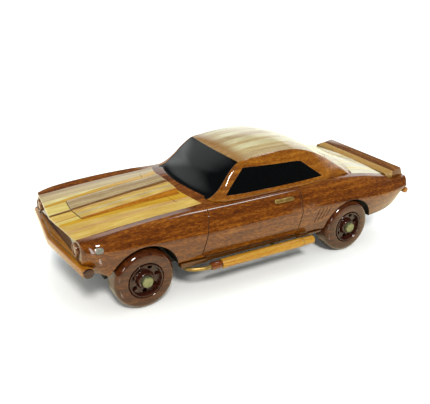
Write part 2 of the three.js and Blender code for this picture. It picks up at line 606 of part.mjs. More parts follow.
const tailLightOutline = (grow) => inset([[24, 52.6], [48, 52.6], [48, 59.4], [24, 59.4]], -grow);
const mirrored = (points) => points.map(([a, b]) => [-a, b]).reverse();
const lightWell = (points) => alongY(outline(points), TAIL_Y - 1.4 - GAP, 200);
const tailPanel = box(-52 + GAP, 52 - GAP, TAIL_Y - 3 + GAP, TAIL_Y - 0.2, 50.5 + GAP, 61.4 - GAP)
  .subtract(lightWell(tailLightOutline(GAP)))
  .subtract(lightWell(mirrored(tailLightOutline(GAP))))
  .subtract(rearRod(REAR_BUMPER.radius + GAP, 90));
const tailLight = alongY(outline(tailLightOutline(0)), TAIL_Y - 1.4, TAIL_Y + 0.3);

// ---- Wheels --------------------------------------------------------------------------------------

const WHEEL_SIDES = 24;
// A turned wheel part: profile points are [radius, x]; a flat side, not a corner, faces the ground.
function wheelPart(profile) {
  const points = profile.map(([r, x]) => new THREE.Vector2(r, x));
  points.push(points[0].clone());
  return new THREE.LatheGeometry(points, WHEEL_SIDES, Math.PI / WHEEL_SIDES).rotateZ(-Math.PI / 2);
}

const flatSide = 1 / Math.cos(Math.PI / WHEEL_SIDES);
const tyre = wheelPart([
  [TYRE_BORE, TYRE_INNER_X], [22, TYRE_INNER_X], [25.4 * flatSide, TYRE_INNER_X + 2.6],
  [WHEEL_RADIUS * flatSide, TYRE_INNER_X + 6.5], [WHEEL_RADIUS * flatSide, 63.5], [25.8, 67],
  [23, TYRE_OUTER_X], [TYRE_BORE, TYRE_OUTER_X],
]);
const rimBlank = wheelPart([
  [AXLE_RADIUS + GAP, TYRE_INNER_X], [TYRE_BORE - GAP, TYRE_INNER_X], [TYRE_BORE - GAP, TYRE_OUTER_X],
  [TYRE_BORE - 1.3, TYRE_OUTER_X], [TYRE_BORE - 2.1, 65.4], [HUB_RADIUS + 0.3, 65.4],
  [HUB_RADIUS - 0.3, 67.8], [AXLE_RADIUS + GAP, 67.8],
]);

const rim = Array.from({ length: BOLT_HOLES }, (_, i) => {
  const turn = (i * 2 * Math.PI) / BOLT_HOLES;
  const drill = new THREE.CylinderGeometry(BOLT_HOLE_RADIUS, BOLT_HOLE_RADIUS, 8, 8);
  drill.rotateZ(Math.PI / 2);
  return solid(drill.translate(64, BOLT_CIRCLE * Math.cos(turn), BOLT_CIRCLE * Math.sin(turn)));
}).reduce((left, drill) => left.subtract(drill), solid(rimBlank));

const axle = new THREE.CylinderGeometry(AXLE_RADIUS, AXLE_RADIUS, 2 * AXLE_HALF, 20).rotateZ(Math.PI / 2);
const axleCap = turned(
  [[0, AXLE_HALF + GAP], [AXLE_RADIUS + GAP, AXLE_HALF + GAP], [AXLE_RADIUS + GAP, 68.1], [CAP_RADIUS, 68.1],
    [CAP_RADIUS, CAP_OUTER_X - 0.9], [CAP_RADIUS - 0.8, CAP_OUTER_X], [0, CAP_OUTER_X]], 16,
).rotateZ(-Math.PI / 2);

// ---- Materials -----------------------------------------------------------------------------------

const lacquer = (color) => new THREE.MeshStandardMaterial({ color, roughness: 0.15, metalness: 0 });
const MAHOGANY = lacquer(0x6a3418);
const DARK_MAHOGANY = lacquer(0x4c1f10);
const PALE_WOOD = lacquer(0xd9b877);
const STRIPED_WOOD = lacquer(0xb98f58);
const HONEY_WOOD = lacquer(0xc8842a);
const YELLOW_WOOD = lacquer(0xdba032);
const BLACK_GLOSS = lacquer(0x0c0c0d);
const PEARL = lacquer(0xc9c6c0);
const BRASS = new THREE.MeshStandardMaterial({ color: 0xb59a52, roughness: 0.3, metalness: 1 });

// ---- Assembly ------------------------------------------------------------------------------------

const car = new THREE.Group();

function put(name, shape, material, parent = car) {
  const geometry = shape instanceof THREE.BufferGeometry ? shape : geometryOf(shape);
  const mesh = new THREE.Mesh(geometry, material);
  mesh.name = name;
  parent.add(mesh);
  return mesh;
}

// A left piece and its mirror image on the right.
function putPair(name, shape, material) {
  put(`${name}_left`, shape, material);
  put(`${name}_right`, shape, material).scale.x = -1;
}

function putBarPair(name, part, material) {
  const bar = onFlank(part);
  for (const [side, sign] of [["left", 1], ["right", -1]]) {
    const flipped = new THREE.Group();
    flipped.scale.x = sign;
    const mesh = put(`${name}_${side}`, bar.geometry, material, flipped);
    mesh.rotation.copy(bar.rotation);
    mesh.position.copy(bar.position);
    car.add(flipped);
  }
}

put("body_core", bodyCore, STRIPED_WOOD);
putPair("side_board", sideBoard, MAHOGANY);
put("hood_panel", hoodPanel, PALE_WOOD);
putPair("scoop_half", scoopHalf, STRIPED_WOOD);
put("scoop_centre_strip", ribForm(0), DARK_MAHOGANY);
putPair("scoop_bevel", scoopBevel, HONEY_WOOD);
put("cowl_panel", cowlPanel, MAHOGANY);
put("cabin_core", cabinCore, STRIPED_WOOD);
put("roof_panel", roofPanel, PALE_WOOD);
putPair("roof_side", roofSide, MAHOGANY);
put("windshield", windshield, BLACK_GLOSS);
put("rear_window", rearWindow, BLACK_GLOSS);
putPair("side_window", sideWindow, BLACK_GLOSS);
put("trunk_lid", trunkLid, PALE_WOOD);
put("spoiler_base", spoilerBase, HONEY_WOOD);
put("spoiler_blade", spoilerBlade, MAHOGANY);
put("tail_panel", tailPanel, DARK_MAHOGANY);
putPair("tail_light", tailLight, HONEY_WOOD);
put("rear_bumper", rearRod(REAR_BUMPER.radius, REAR_BUMPER.half), HONEY_WOOD);
put("front_bumper", frontBumper, HONEY_WOOD);
putPair("bumper_cap", bumperCap(), DARK_MAHOGANY);
put("grille_panel", grillePanel, DARK_MAHOGANY);
put("grille_sill", grilleSill, HONEY_WOOD);
putPair("headlight", headlight, HONEY_WOOD);
putBarPair("side_marker", MARKER, PEARL);
putBarPair("door_handle", HANDLE, BRASS);
putPair("rocker", rocker, HONEY_WOOD);
putPair("muffler", muffler, YELLOW_WOOD);
putPair("pipe_collar", collar, DARK_MAHOGANY);
putPair("header_pipe", headerPipe(), BRASS);
putPair("pipe_hanger", hanger(), BRASS);

for (const [end, y] of [["front", FRONT_AXLE_Y], ["rear", REAR_AXLE_Y]]) {
  put(`axle_${end}`, axle, BRASS).position.set(0, y, WHEEL_RADIUS);
  for (const [side, sign] of [["left", 1], ["right", -1]]) {
    const wheel = new THREE.Group();
    wheel.position.set(0, y, WHEEL_RADIUS);
    wheel.scale.x = sign;
    put(`tyre_${end}_${side}`, tyre, MAHOGANY, wheel);
    put(`rim_${end}_${side}`, rim, DARK_MAHOGANY, wheel);
    put(`axle_cap_${end}_${side}`, axleCap, BRASS, wheel);
    car.add(wheel);
  }
}

export default car;
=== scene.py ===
"""The fine visual model of a hand-made wooden coupe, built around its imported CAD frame.

Design lengths are millimetres in the frame's own axes: +Z is up, the nose points along -Y, and +X is the
car's left.
"""
import math

import bmesh
import bpy
import numpy as np
from mathutils import Matrix, Vector


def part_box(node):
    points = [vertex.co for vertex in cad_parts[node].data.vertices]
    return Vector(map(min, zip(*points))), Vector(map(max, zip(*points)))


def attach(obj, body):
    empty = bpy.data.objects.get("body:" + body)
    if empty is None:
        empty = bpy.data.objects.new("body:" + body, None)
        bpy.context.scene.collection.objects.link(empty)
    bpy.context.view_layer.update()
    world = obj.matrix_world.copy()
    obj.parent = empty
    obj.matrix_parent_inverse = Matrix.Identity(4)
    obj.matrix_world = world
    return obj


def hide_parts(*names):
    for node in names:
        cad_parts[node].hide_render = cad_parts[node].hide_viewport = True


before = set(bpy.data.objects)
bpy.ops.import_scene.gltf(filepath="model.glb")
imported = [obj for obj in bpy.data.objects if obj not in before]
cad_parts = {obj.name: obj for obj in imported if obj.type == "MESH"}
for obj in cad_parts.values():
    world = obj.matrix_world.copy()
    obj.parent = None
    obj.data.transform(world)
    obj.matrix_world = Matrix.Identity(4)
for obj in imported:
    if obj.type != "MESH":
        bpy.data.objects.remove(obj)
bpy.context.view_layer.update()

MM = 0.001
SHARP_FROM = 25  # degrees between faces from which an edge is rounded
SMOOTH_BELOW = 32  # degrees between faces up to which they are shaded as one surface


def span(node):
    """Lowest and highest corner of a CAD node, in millimetres."""
    low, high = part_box(node)
    return np.array(low) / MM, np.array(high) / MM


# ---- Places taken from the frame -----------------------------------------------------------------

TYRE_LOW, TYRE_HIGH = span("tyre_front_left")
REAR_TYRE_LOW, REAR_TYRE_HIGH = span("tyre_rear_left")
WHEEL_RADIUS = (TYRE_HIGH[1] - TYRE_LOW[1]) / 2
FRONT_AXLE_Y = (TYRE_LOW[1] + TYRE_HIGH[1]) / 2
REAR_AXLE_Y = (REAR_TYRE_LOW[1] + REAR_TYRE_HIGH[1]) / 2
AXLE_Z = (TYRE_LOW[2] + TYRE_HIGH[2]) / 2
TYRE_INNER_X, TYRE_OUTER_X = TYRE_LOW[0], TYRE_HIGH[0]
ARCH_RADIUS = 31.3
REAR_ARCH_DROP = 2.2  # how far the rear arch's centre lies below its axle
ARCHES = ((FRONT_AXLE_Y, AXLE_Z), (REAR_AXLE_Y, AXLE_Z - REAR_ARCH_DROP))
WELL_INNER_X = 43.5  # inner wall of the wheel wells
AXLE_BORE_RADIUS = 3.2

NOSE_Y = -182.6
TAIL_Y = 181.0
BOARD_X = 50.0  # joint between the central block and each side board
ROOF_X = 42.0  # joint between the roof board and each roof side
POCKET_Z = 70.0  # floor of the pocket that the cabin stands in
BELT_Z = 77.0  # where the cabin's sides start to lean in
VEE = 0.112  # how far the nose sweeps back for each millimetre sideways

# Extents of cutting blocks, well outside the car.
FAR = 300.0
WIDE = 90
OVER_BODY = 60
TOP = 200


# ---- Curves along the length: (y, value) stations joined smoothly --------------------------------


def along(*stations):
    ys, values = (np.array(column, float) for column in zip(*stations))
    last = len(ys) - 1
    before, after = np.maximum(np.arange(last + 1) - 1, 0), np.minimum(np.arange(last + 1) + 1, last)
    slopes = (values[after] - values[before]) / (ys[after] - ys[before])

    def curve(y):
        y = np.clip(y, ys[0], ys[-1])
        i = np.clip(np.searchsorted(ys, y) - 1, 0, last - 1)
        gap = ys[i + 1] - ys[i]
        t = (y - ys[i]) / gap
        rest = 1 - t
        ends = (1 + 2 * t) * rest**2 * values[i] + t**2 * (3 - 2 * t) * values[i + 1]
        return ends + gap * t * rest * (rest * slopes[i] - t * slopes[i + 1])

    return curve


shoulder_z = along(
    (NOSE_Y, 67), (-160, 69.6), (-120, 73.1), (-85, 74.6), (-60, 74.4), (0, 75.3), (63, 75.8),
    (92, 75), (120, 71.8), (151, 66.4), (TAIL_Y, 62.4),
)
shoulder_x = along(
    (NOSE_Y, 56), (-174, 59), (-160, 60.2), (-120, 59.8), (-85, 59), (-60, 58.8), (-25, 60.6),
    (31, 61.4), (63, 60.6), (92, 58.6), (120, 57.2), (TAIL_Y, 56),
)
centre_z = along(
    (NOSE_Y, 66.9), (-160, 69.5), (-110, 74.7), (-74, 78.2), (-62, 80.3), (-40, 79.4), (60, 78),
    (104, 77), (123, 74.7), (151, 68.4), (TAIL_Y, 64),
)
crest_rise = along((NOSE_Y, 0.6), (-150, 1.7), (-85, 1.7), (-55, 0), (TAIL_Y, 0))
CREST_START, CREST_WIDTH = 0.84, 0.14  # shares of the half-width over which the top edge rises
crease_x = along(
    (NOSE_Y, 60), (-177, 65), (-168, 68.4), (-145, 70), (90, 70), (135, 68.3), (TAIL_Y, 61)
)
crease_z = along(
    (NOSE_Y, 59.5), (-165, 60.6), (-114, 58.1), (-69, 56), (90, 55.1), (150, 51.5), (TAIL_Y, 53)
)
sill_x = along((NOSE_Y, 57), (-168, 64), (-150, 66.5), (60, 67.2), (125, 66), (TAIL_Y, 57))
sill_z = along(
    (NOSE_Y, 39.5), (-156, 34.8), (-95, 33), (27, 30.8), (140, 31), (156, 32.6), (167, 37.2),
    (174, 43.6), (TAIL_Y, 48.6),
)
roof_edge_z = along(
    (-60, 78), (-27, 102.6), (-12, 106), (4, 107.8), (22, 108.6), (40, 107.4), (60, 101.8),
    (78, 93.4), (95, 82.8), (112, 72.4), (124, 68),
)
roof_crown = along((-27, 2.8), (5, 4), (90, 4.4), (112, 4), (124, 6))
cabin_base_x = along((-56, 52), (-40, 56.6), (0, 58), (40, 57.4), (66, 55.6), (109, 49.2), (124, 47))
roof_half_x = along((-56, 42), (60, 41.5), (90, 41), (112, 45.5), (124, 46.5))


def lerp(a, b, t):
    return a + (b - a) * t


def smoothstep(value, low, high):
    t = np.clip((value - low) / (high - low), 0, 1)
    return t * t * (3 - 2 * t)


def nose_share(y):
    """1 at the nose, fading to 0 over the first 45 mm behind it."""
    return 1 - smoothstep(y, NOSE_Y, NOSE_Y + 45)


def body_top_z(y, x):
    across = np.minimum(np.abs(x) / shoulder_x(y), 1)
    rise = crest_rise(y)
    flat = lerp(centre_z(y), shoulder_z(y) - rise, across**2)
    return flat + rise * np.clip((across - CREST_START) / CREST_WIDTH, 0, 1)


def flank_x(y, z):
    """Half-width of the flank at height z: it leans in at once above the crease and turns over at the top."""
    below = np.clip((z - sill_z(y)) / (crease_z(y) - sill_z(y)), 0, 1)
    above = np.clip((z - crease_z(y)) / (shoulder_z(y) - crease_z(y)), 0, 1)
    lean = 0.6 * above + 0.4 * above**7
    low_side = lerp(sill_x(y), crease_x(y), np.sin(below * math.pi / 2))
    return np.where(z < crease_z(y), low_side, lerp(crease_x(y), shoulder_x(y), lean))


def roof_top_z(y, x):
    return roof_edge_z(y) + roof_crown(y) * (1 - (x / roof_half_x(y)) ** 2)


def hood_rear_y(x):
    return -73.5 + 8.5 * (x / BOARD_X) ** 2


def cowl_rear_y(x):
    return -65.5 + 13 * (x / BOARD_X) ** 2


def header_y(x):
    return -27 + 3.2 * (x / ROOF_X) ** 2


def seam_y(x):
    """Where the cabin meets the trunk lid."""
    return 123 - 14.5 * (x / BOARD_X) ** 2


# ---- Closed meshes -------------------------------------------------------------------------------


def mesh_from(points, faces):
    mesh = bpy.data.meshes.new("form")
    mesh.from_pydata((np.asarray(points, float) * MM).tolist(), [], [list(map(int, f)) for f in faces])
    mesh.update()
    return mesh


def steps(low, high, count, edge, rings=3):
    """Places between low and high, with rings of closer ones in a band as wide as edge at each end."""
    near = edge * np.arange(rings) / rings
    return np.concatenate([low + near, np.linspace(low + edge, high - edge, count + 1), high - near[::-1]])


def warped_block(u, v, w, place, fillet):
    """The skin of a block with its edges rounded, carried by place(u, v, w): u -1 to 1, v and w 0 to 1."""
    shape = (len(u), len(v), len(w))
    skin = np.zeros(shape, bool)
    skin[[0, -1]] = skin[:, [0, -1]] = skin[:, :, [0, -1]] = True
    index = np.full(shape, -1)
    index[skin] = np.arange(skin.sum())
    points = np.stack(np.meshgrid(u, v, w, indexing="ij"), -1)[skin]
    fillet = np.array(fillet, float)
    inner = np.clip(points, np.array([-1, 0, 0]) + fillet, 1 - fillet)
    reach = (points - inner) / fillet
    points = inner + fillet * reach / np.maximum(np.linalg.norm(reach, axis=1, keepdims=True), 1)
    faces = []
    for axis in range(3):
        for end in (0, -1):
            sheet = np.take(index, end, axis)
            corners = [sheet[:-1, :-1], sheet[1:, :-1], sheet[1:, 1:], sheet[:-1, 1:]]
            quads = np.stack(corners, -1).reshape(-1, 4)
            faces.append(quads[:, ::-1] if (end == 0) != (axis == 1) else quads)
    return mesh_from(np.stack(place(*points.T), -1), np.concatenate(faces))


def turning(outline):
    """Twice the area inside an outline, positive when it runs anticlockwise."""
    after = np.roll(outline, -1, axis=0)
    return np.sum(outline[:, 0] * after[:, 1] - after[:, 0] * outline[:, 1])


def prism(outline, axis, low, high, bevel=0.0, segments=3):
    """An outline carried along an axis: it is drawn in (y, z), (x, z) or (x, y). Its edges can be rounded."""
    outline = np.array(outline, float)
    if (turning(outline) > 0) == (axis == 1):
        outline = outline[::-1]
    ends = [np.insert(outline, axis, level, axis=1) for level in (low, high)]
    count = len(outline)
    sides = [[i, (i + 1) % count, count + (i + 1) % count, count + i] for i in range(count)]
    mesh = mesh_from(np.concatenate(ends), [list(range(count))[::-1], list(range(count, 2 * count)), *sides])
    return rounded(mesh, bevel, segments) if bevel else mesh


def rounded(mesh, bevel, segments=3):
    """The mesh with its sharp edges rounded."""
    work = bmesh.new()
    work.from_mesh(mesh)
    edges = [e for e in work.edges if e.calc_face_angle(0) > math.radians(SHARP_FROM)]
    bmesh.ops.bevel(work, geom=edges, offset=bevel * MM, segments=segments, profile=0.5, affect="EDGES",
                    clamp_overlap=True)
    work.to_mesh(mesh)
    work.free()
    return mesh


def block(x0, x1, y0, y1, z0, z1):
    return prism([(x0, y0), (x1, y0), (x1, y1), (x0, y1)], 2, z0, z1)


def turned(profile, centre, axis=0, sides=96):
    """A turned piece: profile points are (radius, place along the axis), closed on the axis or on itself."""
    profile = np.array(profile, float)
    on_axis = profile[:, 0] < 1e-6
    closed = not on_axis.any()
    turns = np.arange(sides) * 2 * math.pi / sides
    first, second = [i for i in range(3) if i != axis]
    points, rings = [], []
    for radius, level in profile:
        count = 1 if radius < 1e-6 else sides
        ring = np.zeros((count, 3))
        ring[:, axis] = level
        if count > 1:
            ring[:, first] = radius * np.cos(turns)
            ring[:, second] = radius * np.sin(turns)
        rings.append(np.arange(count) + sum(len(p) for p in points))
        points.append(ring)
    faces = []
    pairs = list(zip(rings, rings[1:])) + ([(rings[-1], rings[0])] if closed else [])
    for a, b in pairs:
        for i in range(sides):
            j = (i + 1) % sides
            corners = [a[i % len(a)], a[j % len(a)], b[j % len(b)], b[i % len(b)]]
            faces.append(list(dict.fromkeys(corners)))
    mesh = mesh_from(np.concatenate(points) + np.array(centre, float), faces)
    return outward(mesh)


def outward(mesh):
    work = bmesh.new()
    work.from_mesh(mesh)
    bmesh.ops.recalc_face_normals(work, faces=work.faces)
    if work.calc_volume(signed=True) < 0:
        bmesh.ops.reverse_faces(work, faces=work.faces)
    work.to_mesh(mesh)
    work.free()
    return mesh


def smooth_path(knots, count):
    """Points on a smooth curve through the knots."""
    knots = np.array(knots, float)
    padded = np.concatenate([2 * knots[:1] - knots[1:2], knots, 2 * knots[-1:] - knots[-2:-1]])
    path = []
    for at in np.linspace(0, len(knots) - 1, count):
        i = min(int(at), len(knots) - 2)
        t = at - i
        p0, p1, p2, p3 = padded[i : i + 4]
        path.append(
            0.5 * (2 * p1 + (p2 - p0) * t + (2 * p0 - 5 * p1 + 4 * p2 - p3) * t**2
                   + (3 * p1 - p0 - 3 * p2 + p3) * t**3)
        )
    return np.array(path)


def skin_over(rings):
    """A closed skin over equal rings of points, with a flat face over the first and the last."""
    sides, last = len(rings[0]), len(rings) - 1
    faces = [list(range(sides)), list(range(last * sides, (last + 1) * sides))]
    for start in range(0, last * sides, sides):
        for i in range(sides):
            j = (i + 1) % sides
            faces.append([start + i, start + j, start + sides + j, start + sides + i])
    return outward(mesh_from(np.concatenate(rings), faces))


def tube(knots, radius, count=40, sides=20):
    """A round bar of even thickness along a smooth curve through the knots."""
    path = smooth_path(knots, count)
    tangents = np.gradient(path, axis=0)
    tangents /= np.linalg.norm(tangents, axis=1, keepdims=True)
    side = np.array([0.0, 0.0, 1.0])
    turns = np.arange(sides) * 2 * math.pi / sides
    points = []
    for centre, tangent in zip(path, tangents):
        side = side - tangent * (side @ tangent)
        side /= np.linalg.norm(side)
        other = np.cross(tangent, side)
        points.append(centre + radius * (np.outer(np.cos(turns), side) + np.outer(np.sin(turns), other)))
    return skin_over(points)


def boolean(operation, base, *tools):
    """A new mesh: base cut by, joined with or limited to each tool in turn."""
    link = bpy.context.scene.collection.objects.link
    host = bpy.data.objects.new("host", base)
    link(host)
    made = [host]
    for tool in tools:
        other = bpy.data.objects.new("tool", tool)
        link(other)
        made.append(other)
        step = host.modifiers.new("boolean", "BOOLEAN")
        step.operation, step.solver, step.object = operation, "MANIFOLD", other
    evaluated = host.evaluated_get(bpy.context.evaluated_depsgraph_get())
    result = bpy.data.meshes.new_from_object(evaluated)
    result.materials.clear()
    for obj in made:
        bpy.data.objects.remove(obj)
    return result


def minus(base, *tools):
    return boolean("DIFFERENCE", base, *tools)


def common(base, *tools):
    return boolean("INTERSECT", base, *tools)


def plus(base, *tools):
    return boolean("UNION", base, *tools)


def moved(mesh, x=0.0, y=0.0, z=0.0):
    copy = mesh.copy()
    copy.transform(Matrix.Translation(Vector((x, y, z)) * MM))
    return copy


def mirrored(mesh):
    copy = mesh.copy()
    copy.transform(Matrix.Scale(-1, 4, (1, 0, 0)))
    copy.flip_normals()
    return copy


def both(mesh):
    return plus(mesh, mirrored(mesh))


def plan_between(front, rear, floor=0):
    """The space between two curves across the car, from a floor upwards."""
    xs = np.linspace(-OVER_BODY, OVER_BODY, 25)
    outline = [(x, front(x)) for x in xs] + [(x, rear(x)) for x in xs[::-1]]
    return prism(outline, 2, floor, TOP)


def stadium(half, low, high, count=16):
    """An upright oval with straight top and bottom, in (x, z)."""
    radius = (high - low) / 2
    turns = np.linspace(-math.pi / 2, math.pi / 2, count + 1)
    right = [(half - radius + radius * math.cos(t), low + radius + radius * math.sin(t)) for t in turns]
    return right + [(-x, z) for x, z in right[::-1]]


def slice_between(x0, x1):
    """All of the space between two planes across the car."""
    return block(x0, x1, -FAR, FAR, 0, TOP)


def cylinder(radius, low, high, centre, axis=0, sides=48):
    """A plain round tool for cutting bores and wells, also used for the axle shafts."""
    return turned([(0, low), (radius, low), (radius, high), (0, high)], centre, axis, sides)


def arch(y, z, x0, x1, radius=ARCH_RADIUS):
    """The space of a wheel arch, open at the bottom."""
    turns = np.linspace(0, math.pi, 65)
    outline = [(y - radius, -5), (y + radius, -5)]
    outline += [(y + radius * math.cos(t), z + radius * math.sin(t)) for t in turns]
    return prism(outline, 0, x0, x1)


# ---- Putting a finished piece on its body ---------------------------------------------------------


def finish_piece(node, mesh, finish, slot, body="car_body"):
    """The mesh becomes the piece that stands for one CAD node."""
    piece = bpy.data.objects.new(f"{node}_fine", mesh)
    bpy.context.scene.collection.objects.link(piece)
    for material in finish if isinstance(finish, tuple) else (finish,):
        mesh.materials.append(material)
    mesh.shade_smooth()
    mesh.set_sharp_from_angle(angle=math.radians(SMOOTH_BELOW))
    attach(piece, body)
    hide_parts(node)
    return piece


def finish_pair(name, mesh, finish, slot, **options):
    finish_piece(f"{name}_left", mesh, finish, slot, **options)
    finish_piece(f"{name}_right", mirrored(mesh), finish, slot, **options)


def paint_well_shade(mesh):
    """The second material, painted shade, goes on the faces inside the wheel arches, under the sills and on
    the keel, where shade falls.
    """
    count = len(mesh.polygons)

    def read(name):
        values = np.zeros(count * 3)
        mesh.polygons.foreach_get(name, values)
        return values.reshape(-1, 3).T

    x, y, z = read("center") / MM
    across, _, upward = read("normal")
    keel = np.abs(x) < WELL_INNER_X
    in_shade = (upward < -0.75) & (z < 45) | keel & (z < 33)
    for axle_y, axle_z in ARCHES:
        inside = np.hypot(y - axle_y, z - axle_z) < ARCH_RADIUS + 0.12
        beside = np.abs(y - axle_y) < ARCH_RADIUS + 0.1
        in_shade |= inside & ((np.abs(across) < 0.2) | (np.abs(x) < WELL_INNER_X + 0.5))
        in_shade |= beside & (z < axle_z) & (np.abs(x) < BOARD_X)
    mesh.polygons.foreach_set("material_index", in_shade.astype(np.int32))


# ---- Materials -----------------------------------------------------------------------------------

LIGHT_LEVEL = 2.2  # how much brighter than its own colour a matt surface shows in this light


def tone(red, green, blue):
    """The surface colour that shows as this 0-255 screen colour in the scene's light."""
    channels = [c / 255 for c in (red, green, blue)]
    linear = [c / 12.92 if c < 0.04045 else ((c + 0.055) / 1.055) ** 2.4 for c in channels]
    return tuple(c / LIGHT_LEVEL for c in linear) + (1.0,)


class Graph:
    """The node tree of a material or of the world, built by calls that return output sockets."""

    def __init__(self, owner):
        self.owner = owner
        owner.use_nodes = True
        self.tree = owner.node_tree
        self.tree.nodes.clear()

    def node(self, kind, inputs=None, **settings):
        made = self.tree.nodes.new(kind)
        for key, value in settings.items():
            setattr(made, key, value)
        for socket, value in (inputs or {}).items():
            if isinstance(value, bpy.types.NodeSocket):
                self.tree.links.new(value, made.inputs[socket])
            else:
                made.inputs[socket].default_value = value
        return made

    def math(self, operation, *values, clamp=False):
        made = self.node("ShaderNodeMath", dict(enumerate(values)), operation=operation, use_clamp=clamp)
        return made.outputs[0]

    def vector(self, operation, *values, output=0):
        return self.node("ShaderNodeVectorMath", dict(enumerate(values)), operation=operation).outputs[output]

    def dot(self, a, b):
        return self.vector("DOT_PRODUCT", a, b, output="Value")

    def split(self, vector):
        """The x, y and z of a vector."""
        return self.node("ShaderNodeSeparateXYZ", {0: vector}).outputs

    def ease(self, value, low, high, start=0.0, end=1.0):
        """From start to end as the value goes from low to high, gently at both."""
        inputs = {"Value": value, "From Min": low, "From Max": high, "To Min": start, "To Max": end}
        return self.node("ShaderNodeMapRange", inputs, interpolation_type="SMOOTHSTEP").outputs[0]

    def bevel(self, radius):
        """The surface direction with edges rounded to a radius in millimetres."""
        return self.node("ShaderNodeBevel", {"Radius": radius * MM}, samples=6).outputs[0]

    def bump(self, strength, distance, height, **normal):
        """The surface direction over a relief whose depth is a distance in millimetres."""
        inputs = {"Strength": strength, "Distance": distance * MM, "Height": height, **normal}
        return self.node("ShaderNodeBump", inputs).outputs[0]

    def ramp(self, value, stops, interpolation="LINEAR"):
        made = self.node("ShaderNodeValToRGB", {0: value})
        ramp = made.color_ramp
        ramp.interpolation = interpolation
        ramp.elements.remove(ramp.elements[1])
        ramp.elements[0].position, ramp.elements[0].color = stops[0]
        for place, colour in stops[1:]:
            ramp.elements.new(place).color = colour
        return made.outputs[0]

    def mix(self, share, a, b, blend="MIX"):
        made = self.node("ShaderNodeMix", {0: share, 6: a, 7: b}, data_type="RGBA", blend_type=blend)
        return made.outputs[2]

    def noise(self, place, scale, detail=2.0, roughness=0.5, distortion=0.0):
        inputs = {"Vector": place, "Scale": scale, "Detail": detail, "Roughness": roughness,
                  "Distortion": distortion}
        return self.node("ShaderNodeTexNoise", inputs).outputs["Fac"]

    def place(self):
        """The point being shaded, in millimetres of its piece's own frame."""
        own = self.node("ShaderNodeTexCoord").outputs["Object"]
        inputs = {0: own, "Scale": 1 / MM}
        return self.node("ShaderNodeVectorMath", inputs, operation="SCALE").outputs[0]

    def finish(self, **inputs):
        shader = self.node("ShaderNodeBsdfPrincipled", {k.replace("_", " "): v for k, v in inputs.items()})
        self.node("ShaderNodeOutputMaterial", {"Surface": shader.outputs[0]})
        return self.owner


def new_material(name):
    return Graph(bpy.data.materials.new(name))


TREE_HEART = (95.0, -60.0)


def grey(value):
    return (value, value, value, 1.0)


